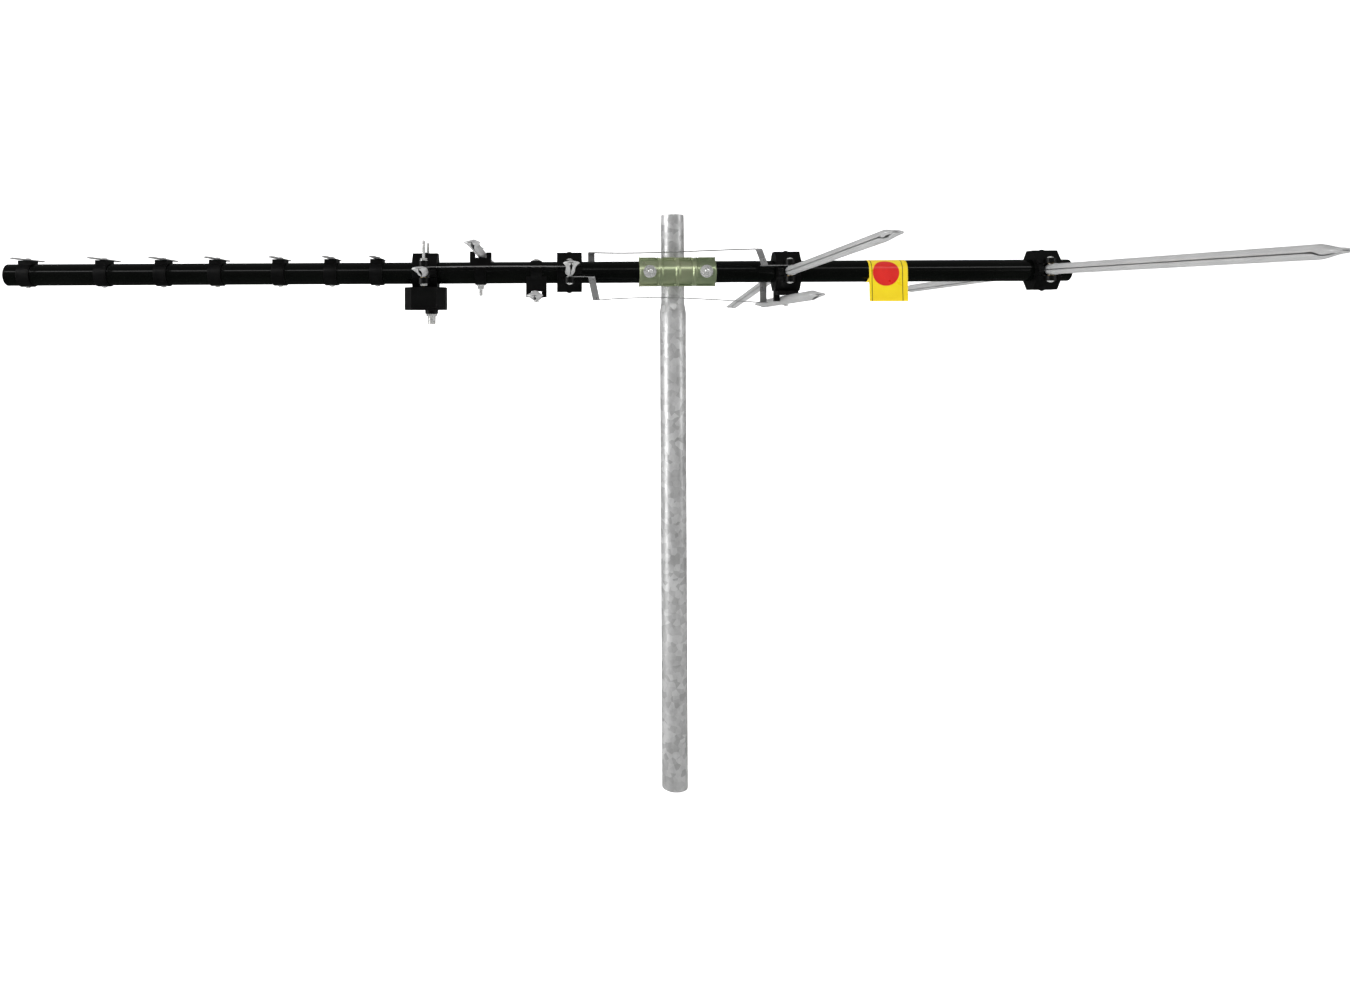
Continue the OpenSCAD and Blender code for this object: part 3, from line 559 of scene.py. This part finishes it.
# %% [markdown]
# ## Elements
# Each element is a strip of aluminium rolled round into a tube whose edges meet in an open seam. At its
# tip the tube is crushed flat, so it becomes as wide as half its girth, and the seam gapes there. Drawn
# as a surface it is an ellipse carried along a line. The half-width and half-height of the ellipse and
# the gap of its seam change along the way, and a wall is grown inwards, so the seam is really open.

# %% Roll the elements
def centre_line(distance, side, rise, swing, root, lift=0.0, reach=1.0):
    """Along Y up to the root, then turned up by rise and towards +X by swing, in degrees, with the corner
    rounded over 6 mm. lift is a last gentle curve upwards, eased in between a third and all of the reach."""
    beyond = np.clip(distance - root + 3 * mm, 0.0, 6 * mm)
    bent = beyond ** 2 / (12 * mm) + np.clip(distance - root - 3 * mm, 0.0, None)
    straight = distance - bent
    up, out = np.radians(rise), np.radians(swing)
    heading = np.array([np.sin(out) * np.cos(up), np.cos(out) * np.cos(up), np.sin(up)])
    line = bent[:, None] * heading
    line[:, 1] += straight
    line[:, 1] *= side
    line[:, 2] += lift * ease(distance, 0.34 * reach, reach)
    return line


crushed_half_width, crushed_half_height, paddle_end = 8.75 * mm, 2.3 * mm, 5.0 * mm
wall = 0.8 * mm


def rolled_tube(name, distance, line, r, seam_turn, tips, nose=0.0, collar=None, columns=44):
    """At each distance the outline is (a sin t, b cos t) with t from the seam's one lip to its other.
    tips are the distances of the crushed ends, with which way they lie; towards one of them a grows to
    its crushed width and b shrinks to its crushed height; over paddle_end both are rounded off. nose is
    a root rounded in plan, collar a crimped ring's place, seam_turn the seam's angle from straight down."""
    a, b = np.full_like(distance, r), np.full_like(distance, r)
    gap = np.full_like(distance, np.radians(5.0))
    turn = np.full_like(distance, np.radians(seam_turn))
    for tip, way in tips:
        to_tip = (tip - distance) * way
        crushed = 1.0 - ease(to_tip, 4 * mm, 24 * mm)
        a += (crushed_half_width - r) * crushed
        b += (crushed_half_height - r) * crushed
        rounded = np.clip(1.0 - to_tip / paddle_end, 0.0, 1.0) ** 2
        a *= np.sqrt(1.0 - 0.74 * rounded)
        b *= np.sqrt(1.0 - 0.86 * rounded)
        gap += np.radians(8.0) * (1.0 - ease(to_tip, 12 * mm, 34 * mm)) * ease(to_tip, 0.0, 12 * mm)
        turn *= 0.35 + 0.65 * ease(to_tip, 10 * mm, 26 * mm)
    if nose:
        a *= np.sqrt(np.clip(1.0 - (np.clip(-distance, 0.0, nose) / (nose + 0.02 * mm)) ** 2, 0.0, 1.0))
    if collar:
        ring = 0.55 * mm * np.exp(-((distance - collar) / (2.2 * mm)) ** 4)
        a, b = a + ring, b + ring
    share = np.linspace(-1.0, 1.0, columns)
    t = share[None, :] * (np.pi - gap[:, None]) + turn[:, None]
    along = np.gradient(line, axis=0)
    along /= np.linalg.norm(along, axis=1, keepdims=True)
    across = np.cross(along, (0.0, 0.0, 1.0))
    across *= np.sign(across[:, :1])
    above = np.cross(across, along)
    above *= np.sign(above[:, 2:])
    rings = (line[:, None, :] + (a[:, None] * np.sin(t))[..., None] * across[:, None, :]
             + (b[:, None] * np.cos(t))[..., None] * above[:, None, :])
    return skin(name, rings, closed=False, angle=50.0)


# name: reach from the boom's axis, rise, swing, seam's turn, lift at the tip
folding = {
    "feed_half_near": (60.0, 5.0, 0.0, 0.0, 0.0), "feed_half_far": (60.0, 0.0, 0.0, 0.0, 0.0),
    "uhf_half_near": (115.0, 0.0, 0.0, 0.0, 4.5), "uhf_half_far": (115.0, 0.0, 0.0, 0.0, 0.0),
    "vhf_half_near": (335.0, 2.8, 1.2, 78.0, 0.0), "vhf_half_far": (335.0, -7.0, 0.0, 60.0, 0.0),
    "reflector_half_near": (420.0, -1.2, 0.2, 84.0, 0.0), "reflector_half_far": (420.0, -1.2, 0.0, 60.0, 0.0),
}
root = 12 * mm
for name, (reach, rise, swing, seam_turn, lift) in folding.items():
    side = -1.0 if name.endswith("near") else 1.0
    r = reflector_r if name.startswith("reflector") else tube_r
    length = reach * mm - pivot_y
    distance = np.unique(np.concatenate([
        np.linspace(-r, 0.0, 9), np.linspace(0.0, root + 6 * mm, 19),
        np.linspace(root + 6 * mm, length - 36 * mm, 12) if length > 60 * mm else np.array([root + 7 * mm]),
        np.linspace(max(length - 36 * mm, root + 7.5 * mm), length, 49)]))
    line = pivot_of[name] + centre_line(distance, side, rise, swing, root, lift * mm, length)
    bent = rise != 0.0 or swing != 0.0
    tube = rolled_tube(f"{name}_tube", distance, line, r, seam_turn, [(length, 1.0)], r,
                       root if bent else None)
    dress(thicken(tube, wall), element_metal, name, [name])
    print(f"{name}: {length / mm:.1f} mm from its pivot")

# name: half its length, how far the near end rises in degrees
short = {"upper_element": (126.0, 1.3), "lower_element": (125.0, -1.3), "rear_element": (135.0, 1.2)}
for name, (half_length, rise) in short.items():
    half = half_length * mm
    middle = pivot_of[name]
    ends = np.linspace(half - 36 * mm, half, 49)
    distance = np.unique(np.concatenate([-ends, np.linspace(-half + 36 * mm, half - 36 * mm, 15), ends]))
    heading = np.array([0.0, np.cos(np.radians(rise)), -np.sin(np.radians(rise))])
    tube = rolled_tube(f"{name}_tube", distance, middle + distance[:, None] * heading, tube_r, 0.0,
                       [(half, 1.0), (-half, -1.0)])
    dress(thicken(tube, wall), element_metal, name, [name])
    print(f"{name}: {2 * half / mm:.0f} mm long")

# %% [markdown]
# ## Directors
# A director is a flat strip, sheared to length with blunt pointed ends and coined along its middle, so
# that it is slightly crowned and stiff. Drawn as a surface, the outline of its section is a rounded bar
# whose top bulges by a quarter of a millimetre, and the bar narrows over the last 3 mm at either end. Its
# rivet stands through the strip and the clip, with a domed head above and a formed one below.

# %% Shear and rivet the directors
def bar_rings(line, across, above, half_width, half_height, crown=0.0, columns=28, power=5.0):
    """Rings of a rounded bar: |x/a|^p + |z/b|^p = 1 at each place, drawn with the signed power 2/p of the
    cosine and sine of one turn; the upper side is raised by crown times one less the square of x/a."""
    turn = np.linspace(0.0, 2 * np.pi, columns, endpoint=False)
    x = np.sign(np.cos(turn)) * np.abs(np.cos(turn)) ** (2.0 / power)
    z = np.sign(np.sin(turn)) * np.abs(np.sin(turn)) ** (2.0 / power)
    raised = crown * (1.0 - x ** 2) * (z > 0)
    shape = np.broadcast_to
    wide = shape(np.asarray(half_width, float).reshape(-1, 1), (len(line), 1)) * x
    tall = shape(np.asarray(half_height, float).reshape(-1, 1), (len(line), 1)) * z + raised
    return line[:, None, :] + wide[..., None] * across[:, None, :] + tall[..., None] * above[:, None, :]


def steady(vector, count):
    """The same direction at every place along a path."""
    return np.broadcast_to(np.asarray(vector, float), (count, 3))


def dome_profile(r, h, base=0.0, rim=0.25 * mm, steps=10):
    """A domed head: from the rim a quarter wave up to the crown, radius r times the cosine and height
    rim plus the rest times the sine."""
    t = np.linspace(0.0, np.pi / 2, steps)
    radius = np.concatenate([[r], r * np.cos(t)])
    level_at = np.concatenate([[base], base + rim + (h - rim) * np.sin(t)])
    radius[-1] = 0.02 * mm
    return np.stack([radius, level_at], axis=-1)


def riveted(name, centres, profile, upward, columns=28):
    """Copies one turned profile to each of the centres, as a single piece; upward is 1 or -1."""
    pieces = []
    for centre in centres:
        turned = np.array(profile) * (1.0, upward)
        pieces.append(skin(f"{name}_{len(pieces)}", revolve(turned, centre, 2, columns), angle=60.0))
    return joined(name, pieces)


def joined(name, pieces):
    """Makes one piece of several whose places are in their meshes."""
    work = bmesh.new()
    for piece in pieces:
        work.from_mesh(piece.data)
    mesh = bpy.data.meshes.new(name)
    work.to_mesh(mesh)
    work.free()
    for piece in pieces:
        bpy.data.objects.remove(piece)
    whole = bpy.data.objects.new(name, mesh)
    bpy.context.scene.collection.objects.link(whole)
    return whole


for number in range(1, 8):
    low, high = node_box(f"director_{number}")
    middle = (low + high) / 2
    reach = float(high[1] - low[1]) / 2
    y = np.unique(np.concatenate([np.linspace(-reach, 3 * mm - reach, 8),
                                  np.linspace(3 * mm - reach, reach - 3 * mm, 9),
                                  np.linspace(reach - 3 * mm, reach, 8)]))
    line = middle + np.stack([0 * y, y, 0 * y], axis=-1)
    end = np.clip((reach - np.abs(y)) / (3 * mm), 0.0, 1.0)
    half_width = 3.5 * mm * (0.36 + 0.64 * end)
    half_height = 0.72 * mm * (1.0 - 0.25 * (1.0 - ease(end, 0.0, 0.4)))
    rings = bar_rings(line, steady((1, 0, 0), len(y)), steady((0, 0, 1), len(y)),
                      half_width, half_height, 0.22 * mm)
    dress(skin(f"director_{number}_strip", rings), shaded_director_metal, f"director_{number}",
          [f"director_{number}"])

rivets = node_box("director_rivets")
rivet_centres = [np.array([pivot_of[f"director_{n}"][0], boom_middle[1], 0.0]) for n in range(1, 8)]
head_base = float(rivets[1][2]) - 1.3 * mm
tail_base = float(rivets[0][2]) + 1.6 * mm
heads = riveted("rivet_heads", [c + (0, 0, head_base - 0.12 * mm) for c in rivet_centres],
                dome_profile(3.2 * mm, 1.42 * mm), 1)
tails = riveted("rivet_tails", [c + (0, 0, tail_base) for c in rivet_centres],
                dome_profile(3.0 * mm, 1.6 * mm), -1)
shanks = riveted("rivet_shanks", [c + (0, 0, tail_base) for c in rivet_centres],
                 [(1.6 * mm, 0.0), (1.6 * mm, head_base - tail_base)], 1, 20)
dress(joined("director_rivets_turned", [heads, tails, shanks]), bright_steel, "boom",
      ["director_rivets"])
print("seven directors and their rivets")

# %% [markdown]
# ## Clamp
# The saddle is pressed from sheet: it wraps the front of the boom from lip to lip, and three ribs are
# raised across it to stiffen it. A press can't make a sharp rib, so each one rises and falls as a wave.
# The outline round the boom is a half circle with two straight lips; carried along X, it moves out by
# the rib's height wherever one passes. The wall is grown inwards from the outer surface.

# %% Press the saddle
saddle_low, saddle_high = node_box("clamp_saddle")
saddle_half = float(saddle_high[0] - saddle_low[0]) / 2
sheet_t, rib_rise, rib_pitch, rib_w = 2.0 * mm, 1.8 * mm, 20 * mm, 5 * mm
wrap_r = boom_r + 0.1 * mm + sheet_t
lip_z = float(saddle_high[2] - saddle_low[2]) / 2 - 1.0 * mm


def saddle_outline(columns=72):
    """The wrap in (out, up): half a circle of the wrap's radius between two lips. A lip leaves the circle
    where a short S carries it out to its own height, and then runs straight back."""
    t = np.linspace(-1.0, 1.0, columns)
    angle = t * np.radians(74.0) / 0.74
    on_circle = np.stack([wrap_r * np.cos(angle), wrap_r * np.sin(angle)], axis=-1)
    past = np.clip((np.abs(t) - 0.74) / 0.26, 0.0, 1.0)
    start = wrap_r * np.array([np.cos(np.radians(74.0)), np.sin(np.radians(74.0))])
    lip = np.stack([start[0] * (1.0 - past) + past * 4.2 * mm - 0.6 * mm * np.sin(np.pi * past),
                    np.sign(t) * (start[1] + (lip_z + 0.4 * mm - start[1]) * ease(past, 0.0, 0.7))], axis=-1)
    return np.where((np.abs(t) <= 0.74)[:, None], on_circle, lip)


x = np.unique(np.concatenate([np.linspace(-saddle_half, saddle_half, 61)]
                             + [k * rib_pitch + np.linspace(-4 * mm, 4 * mm, 33) for k in (-1, 0, 1)]))
offset = np.abs(x[:, None] - rib_pitch * np.array([-1.0, 0.0, 1.0])).min(axis=1)
raised = rib_rise * np.exp(-(offset / (0.46 * rib_w)) ** 4)
outline = saddle_outline()
normal = np.gradient(outline, axis=0)[:, ::-1] * (1.0, -1.0)
normal /= np.linalg.norm(normal, axis=1, keepdims=True)
corner = 0.8 * mm * np.clip(1.0 - (saddle_half - np.abs(x)) / (1.2 * mm), 0.0, 1.0) ** 2
lifted = outline[None] + (raised - corner)[:, None, None] * normal[None]
rings = np.zeros((*lifted.shape[:2], 3))
rings[..., 0] = x[:, None]
rings[..., 1] = boom_middle[1] - lifted[..., 0]
rings[..., 2] = boom_middle[2] + lifted[..., 1]
saddle = skin("clamp_saddle_pressed", rings, closed=False, angle=70.0)
dress(thicken(saddle, 1.6 * mm), zinc_yellow, "boom", ["clamp_saddle"])
refine("clamp_cradle", zinc_yellow, width=0.4 * mm)
refine("clamp_rear_jaw", zinc_yellow, width=0.4 * mm)
print(f"saddle {2 * saddle_half / mm:.0f} mm long, three ribs {rib_rise / mm:.1f} mm high")

# %% [markdown]
# ## Screw threads
# A rolled thread is a V that climbs round the bolt by one pitch a turn. As a surface: the radius falls
# from the crest to the root and back as a triangle wave of the height plus the share of the turn. The
# rings have to be several to a pitch for that, so the threads are only as long as they show.

# %% Cut the threads
def threaded(name, centre, axis, start, stop, r, pitch, depth, chamfer=0.6 * mm, columns=24):
    """A threaded bar along an axis: radius = r less depth times a triangle wave of (height / pitch less
    turn / one whole turn), with both ends chamfered."""
    steps = int(round(abs(stop - start) / pitch * 8)) + 1
    height_at = np.linspace(start, stop, steps)
    turn = np.linspace(0.0, 2 * np.pi, columns, endpoint=False)
    phase = (height_at[:, None] / pitch - turn[None, :] / (2 * np.pi)) % 1.0
    radius = r - depth * np.abs(2.0 * phase - 1.0)
    to_end = np.minimum(np.abs(height_at - start), np.abs(stop - height_at))[:, None]
    radius -= 0.45 * chamfer * np.clip(1.0 - to_end / chamfer, 0.0, 1.0)
    rings = np.zeros((steps, columns, 3))
    across = [k for k in range(3) if k != axis]
    rings[..., across[0]] = radius * np.cos(turn)
    rings[..., across[1]] = radius * np.sin(turn)
    rings[..., axis] = height_at[:, None]
    return skin(name, rings + np.asarray(centre, float), angle=80.0)


stud_low, stud_high = node_box("terminal_studs")
nut_top = float(node_box("terminal_nuts")[1][2])
studs = []
for side in (-1.0, 1.0):
    foot = np.array([block_x["feed"], boom_middle[1] + side * pivot_y, 0.0])
    studs.append(threaded(f"stud_{side}", foot, 2, nut_top - 0.2 * mm, float(stud_high[2]),
                          1.8 * mm, 0.7 * mm, 0.32 * mm))
    base = float(stud_low[2])
    plain = [(2.0 * mm, base + 1 * mm), (2.0 * mm, nut_top)]
    studs.append(skin(f"shank_{side}", revolve(plain, foot, 2, 24)))
    hexagon = [(3.4 * mm, base), (4.0 * mm, base + 0.4 * mm), (4.0 * mm, base + 2.6 * mm)]
    studs.append(skin(f"foot_{side}", revolve(hexagon, foot, 2, 6)))
dress(joined("terminal_studs_threaded", studs), bright_steel, "boom", ["terminal_studs"])
bolt_low, bolt_high = node_box("clamp_bolts")
bolt_ends = []
for side in (-1.0, 1.0):
    axis_point = np.array([side * 33 * mm, 0.0, boom_middle[2]])
    bolt_ends.append(threaded(f"bolt_{side}", axis_point, 1, float(bolt_low[1]), boom_middle[1] - 14 * mm,
                              3.0 * mm, 1.0 * mm, 0.45 * mm, 0.9 * mm, 32))
    plain = [(2.96 * mm, boom_middle[1] - 14 * mm), (2.96 * mm, float(bolt_high[1]) - 3.5 * mm)]
    bolt_ends.append(skin(f"shank_{side}", revolve(plain, axis_point, 1, 32)))
    head = revolve([(2 * mm, 0), (5.4 * mm, 0), (5.75 * mm, 0.4 * mm),
                    (5.75 * mm, 3.2 * mm), (5.0 * mm, 4 * mm), (1 * mm, 4 * mm)],
                   axis_point + (0, float(bolt_high[1]) - 4 * mm, 0), 1, 6)
    bolt_ends.append(skin(f"head_{side}", head))
dress(joined("clamp_bolts_threaded", bolt_ends), bright_steel, "boom", ["clamp_bolts"])

barrel_low, barrel_high = node_box("coax_connector")
barrel_x = float(barrel_low[0] + barrel_high[0]) / 2
barrel_foot = np.array([barrel_x, boom_middle[1], 0.0])
thread_top = float(node_box("connector_nut")[0][2])
thread_low = float(barrel_low[2])
pitch, thread_r = 0.794 * mm, 4.75 * mm
bore = [(3.3 * mm, thread_top + 9 * mm), (3.3 * mm, thread_low + 0.3 * mm),
        (3.6 * mm, thread_low + 0.02 * mm), (4.3 * mm, thread_low + 0.02 * mm)]
count = int(round((thread_top - thread_low) / pitch * 8)) + 1
climb = np.linspace(thread_low + 0.1 * mm, thread_top + 0.2 * mm, count)
turn = np.linspace(0.0, 2 * np.pi, 40, endpoint=False)
wave = np.abs(2.0 * ((climb[:, None] / pitch - turn / (2 * np.pi)) % 1.0) - 1.0)
lead_in = np.clip(1.0 - (climb[:, None] - climb[0]) / (0.7 * mm), 0, 1)
radius = thread_r - 0.42 * mm * wave - 0.3 * mm * lead_in
screwed = np.stack([radius * np.cos(turn), radius * np.sin(turn),
                    np.broadcast_to(climb[:, None], radius.shape)], -1)
barrel = np.concatenate([revolve(bore, (0, 0, 0), 2, 40), screwed,
                         revolve([(4.5 * mm, thread_top + 9 * mm)], (0, 0, 0), 2, 40)])
dress(skin("coax_barrel", barrel + barrel_foot, capped=False, angle=80.0), bright_steel, "boom",
      ["coax_connector"])
print("terminal studs, clamp bolts and coaxial barrel threaded")

# %% [markdown]
# ## Nuts, screws and heads
# Nuts and screws keep their CAD shape with eased edges, and the pivot rivets and element bolts are merged
# copies with their edges left sharp.

# %% Finish the fasteners
for node, width in {"clamp_nuts": 0.4, "terminal_nuts": 0.3,
                    "connector_nut": 0.4, "element_nuts": 0.3}.items():
    refine(node, bright_steel, width=width * mm)
refine("block_screws", moulding, width=0.15 * mm)
for node in ("pivot_rivets", "element_bolts"):
    refine(node, bright_steel, width=0)
for node, material in {"pivot_washers": brass, "balun_board": board_green,
                       "balun_core": ferrite, "balun_leads": brass,
                       "connector_insulator": white_insulator, "connector_contact": brass}.items():
    own = frame["nodes"][node]
    own.data.materials.clear()
    own.data.materials.append(material)
print("nuts, screws, rivets and the inner parts finished")

# %% [markdown]
# ## Phasing straps
# Four aluminium straps carry the signal between the blocks. The two in front lie flat on the tubes. The
# other two swap sides, one over the boom and one under it: each has a tab at either end, is folded up or
# down beside its block, and runs across at a slant. Hand-bent strip is never straight, so the runs bow by
# a millimetre or two, and each fold has a radius about as large as the sheet is thick.

# %% Bend the straps
strap_half, strap_t = 4.0 * mm, 1.0 * mm
level_up, level_down = tube_r + 0.75 * mm, -tube_r - 0.75 * mm


def rounded_path(corners, radius, steps=7):
    """A path through the corners whose turns are parabolas: each starts and ends one radius away from
    its corner, at (1-t)^2 start + 2t(1-t) corner + t^2 end."""
    corners = np.asarray(corners, float)
    t = np.linspace(0.0, 1.0, steps)[:, None]
    parts = [corners[:1]]
    for before, corner, after in zip(corners[:-2], corners[1:-1], corners[2:]):
        start = corner + (before - corner) / np.linalg.norm(before - corner) * radius
        end = corner + (after - corner) / np.linalg.norm(after - corner) * radius
        parts.append((1 - t) ** 2 * start + 2 * t * (1 - t) * corner + t ** 2 * end)
    return np.concatenate(parts + [corners[-1:]])


def ribbon(name, line, across, half_width, columns=20):
    """A strip of the strap's thickness along a line: the way up is square to the line and the width."""
    along = np.gradient(line, axis=0)
    across = steady(across, len(line))
    above = np.cross(along, across)
    above /= np.linalg.norm(above, axis=1, keepdims=True)
    rings = bar_rings(line, across, above, half_width, strap_t / 2, columns=columns, power=6.0)
    return skin(name, rings, angle=40.0)


def round_end(distance, half_width):
    """Half-widths that end in a half circle: the square root of 1 less the square of what is left."""
    left = np.clip(1.0 - distance / half_width, 0.0, 0.995)
    return half_width * np.sqrt(np.clip(1.0 - left ** 2, 0.0, 1.0))


def tab(name, pivot_x, side, level_z, stop_x):
    """A flat tab along X from its round end, centred on the pivot, to where the fold starts."""
    way = np.sign(stop_x - pivot_x)
    s = np.concatenate([np.linspace(0.0, strap_half, 12), [abs(stop_x - pivot_x) + strap_half]])
    line = np.zeros((len(s), 3))
    line[:, 0] = pivot_x - way * strap_half + way * s
    line[:, 1] = side * pivot_y
    line[:, 2] = level_z
    return ribbon(name, line + (0, boom_middle[1], boom_middle[2]), (0, 1, 0), round_end(s, strap_half))


def fold(name, x_tab, x_run, side, level_z, run_z):
    """The upright part: out along Y in the tab's plane, round a bend, up or down, and back in."""
    inner, outer = side * (pivot_y - strap_half), side * (pivot_y + strap_half - strap_t / 2)
    corners = [(x_tab, inner, level_z), (x_tab, outer, level_z), (x_run, outer, run_z), (x_run, inner, run_z)]
    line = rounded_path(corners, 2.2 * mm)
    return ribbon(name, line + (0, boom_middle[1], boom_middle[2]), (1, 0, 0), strap_half)


def run(name, x0, x1, side, heights):
    """The slanting part: sideways it is straight from one side to the other, and its height is the
    cubic through four heights at 0, 0.35, 0.6 and 1 of the way."""
    share = np.linspace(0.0, 1.0, 41)
    cubic = np.polyfit([0.0, 0.35, 0.6, 1.0], heights, 3)
    line = np.stack([x0 + (x1 - x0) * share, side * pivot_y * (1 - 2 * ease(share, -0.12, 1.12) * 1.0),
                     np.polyval(cubic, share)], axis=-1)
    line[:, 1] += (side * pivot_y - line[0, 1]) * (1 - share) + (-side * pivot_y - line[-1, 1]) * share
    return ribbon(name, line + (0, boom_middle[1], boom_middle[2]), (0, 1, 0), strap_half)


def crossing(name, start_side, tab_x, run_x, levels, heights, node):
    """Joins two tabs, two folds and a run. tab_x and run_x are the middles of the folds at tab and run."""
    parts = [tab(f"{name}_a", block_x["uhf"], start_side, levels[0], tab_x[0] - strap_half),
             fold(f"{name}_b", tab_x[0], run_x[0], start_side, levels[0], heights[0]),
             run(f"{name}_c", run_x[0] + strap_half, run_x[1] - strap_half, start_side, heights),
             fold(f"{name}_d", tab_x[1], run_x[1], -start_side, levels[1], heights[-1]),
             tab(f"{name}_e", block_x["vhf"], -start_side, levels[1], tab_x[1] + strap_half)]
    return dress(joined(name, parts), shaded_strap_metal, "boom", [node])


crossing("strap_over", 1.0, np.array([-99.6, 99.0]) * mm, np.array([-99.6, 92.0]) * mm,
         (level_down, level_up), np.array([24.6, 23.4, 23.9, 25.2]) * mm, "phase_over")
crossing("strap_under", -1.0, np.array([-101.6, 107.4]) * mm, np.array([-96.0, 107.4]) * mm,
         (level_down, level_down), np.array([-33.0, -30.4, -31.6, -36.0]) * mm, "phase_under")
for side, node in ((-1.0, "phase_front_near"), (1.0, "phase_front_far")):
    low, high = node_box(node)
    s = np.linspace(0.0, float(high[0] - low[0]), 81)
    to_end = np.minimum(s, s[-1] - s)
    bow = 0.5 * mm * np.sin(np.pi * s / s[-1]) ** 2 * ease(to_end, 0.0, 30 * mm)
    line = np.stack([low[0] + s, 0 * s + (low[1] + high[1]) / 2, (low[2] + high[2]) / 2 + bow], axis=-1)
    strip = ribbon(f"{node}_strip", line, (0, 1, 0), round_end(to_end, strap_half))
    dress(strip, shaded_strap_metal, "boom", [node])
print("four phasing straps")

# %% [markdown]
# ## Tag
# The tag is a printed plastic film, wrapped once round the boom with its two ends stuck together as a
# flap that hangs down in front. Film is stiff, so the flap stands a little away and curls at its foot. The
# path of the film is a straight rise and a circle, and the print follows it through a UV map: plain yellow
# with a plain red disc and a thin dark line near either edge.

# %% Wrap the tag
tag_low, tag_high = node_box("tag")
tag_middle_x = float(tag_low[0] + tag_high[0]) / 2
tag_half = float(tag_high[0] - tag_low[0]) / 2
wrap = boom_r + 0.30 * mm
drop = float(boom_middle[2] - tag_low[2])
hang = np.linspace(-drop, 0.0, 30)
curl = -1.1 * mm * np.clip(-hang / drop, 0.0, 1.0) ** 2.2
hanging = np.stack([-wrap + curl, hang], axis=-1)
round_angle = np.linspace(np.pi, np.pi - np.radians(318.0), 90)[1:]
round_part = wrap * np.stack([np.cos(round_angle), np.sin(round_angle)], axis=-1)
tuck_end = np.array([-wrap + 0.45 * mm, -16 * mm])
tuck = round_part[-1] + np.linspace(0, 1, 14)[1:, None] * (tuck_end - round_part[-1])
back = np.stack([-wrap + 0.45 * mm + curl[::-1][13:], hang[::-1][13:]], axis=-1)
film = np.concatenate([hanging, round_part, tuck, back])
travelled = np.concatenate([[0.0], np.cumsum(np.linalg.norm(np.diff(film, axis=0), axis=1))]) - drop
u = np.linspace(-1.0, 1.0, 31)
film_points = np.zeros((len(film), len(u), 3))
film_points[..., 0] = tag_middle_x + tag_half * u
film_points[..., 1:] = film[:, None, :] + boom_middle[1:]
ripple = 0.16 * mm * np.sin(5.0 * u + 0.9)[None, :] * np.clip(-travelled / drop, 0.0, 1.0)[:, None]
film_points[..., 1] -= np.abs(ripple)
tag = skin("tag_film_wrapped", film_points, closed=False, angle=60.0)
corner_of = np.zeros(len(tag.data.loops), int)
tag.data.loops.foreach_get("vertex_index", corner_of)
spots = np.zeros(len(tag.data.vertices) * 3)
tag.data.vertices.foreach_get("co", spots)
spots = spots.reshape(-1, 3)
nearest = np.abs(spots[:, None, 1:] - film_points[:, 0, 1:][None]).sum(axis=2).argmin(axis=1)
flat = np.stack([(spots[:, 0] - tag_middle_x), travelled[nearest]], axis=-1) / (100 * mm) + 0.5
print_map = tag.data.uv_layers.new(name="print")
print_map.data.foreach_set("uv", flat[corner_of].ravel())


def film_print():
    """The colour from the UV map: a red disc where the distance from its centre is under its radius, and
    two dark lines where the distance from the tag's middle is right."""
    material = new_finish("tag_film", IOR=1.5, Coat_Weight=0.25, Coat_Roughness=0.12)
    tree = material.node_tree
    uv = tree.nodes.new("ShaderNodeUVMap")
    uv.uv_map = "print"
    place = place_of(material)

    def away_from(centre, stretch):
        shifted = tree.nodes.new("ShaderNodeVectorMath")
        shifted.operation = "SUBTRACT"
        shifted.inputs[1].default_value = (*centre, 0.0)
        scaled = tree.nodes.new("ShaderNodeVectorMath")
        scaled.operation = "MULTIPLY"
        scaled.inputs[1].default_value = stretch
        length = tree.nodes.new("ShaderNodeVectorMath")
        length.operation = "LENGTH"
        tree.links.new(uv.outputs["UV"], shifted.inputs[0])
        tree.links.new(shifted.outputs["Vector"], scaled.inputs[0])
        tree.links.new(scaled.outputs["Vector"], length.inputs[0])
        return length.outputs["Value"]

    def within(value, edge, soft=0.004):
        return level(material, value, 1.0, 0.0, edge - soft, edge + soft)

    yellow = ramp(material, noise(material, place, 40.0),
                  (0.3, (0.86, 0.62, 0.008)), (0.7, (0.92, 0.72, 0.012)))
    disc = away_from((0.47, 0.475), (1.0, 1.0, 0.0))
    red = ramp(material, noise(material, place, 60.0), (0.3, (0.62, 0.012, 0.01)), (0.7, (0.72, 0.02, 0.014)))
    colour = mixed(material, within(disc, 0.155), yellow, red)
    side = away_from((0.485, 0.5), (1.0, 0.0, 0.0))
    line = tree.nodes.new("ShaderNodeMath")
    line.operation = "SUBTRACT"
    tree.links.new(side, line.inputs[0])
    line.inputs[1].default_value = 0.178
    size = tree.nodes.new("ShaderNodeMath")
    size.operation = "ABSOLUTE"
    tree.links.new(line.outputs["Value"], size.inputs[0])
    colour = mixed(material, within(size.outputs["Value"], 0.004, 0.002), colour, (0.05, 0.035, 0.01))
    return wire(material, colour, level(material, noise(material, place, 130.0), 0.26, 0.42),
                noise(material, place, 70.0, 4.0), 0.0003, 0.4)


tag_film = film_print()
dress(thicken(tag, 0.22 * mm), tag_film, "boom", ["tag"])
print(f"tag wrapped: {travelled[-1] / mm + drop / mm:.0f} mm of film")

# %% [markdown]
# ## The visual model's box
# The box of the visual model is worked out from every shown piece except the cove.

# %% Sizes and finish
low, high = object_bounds()
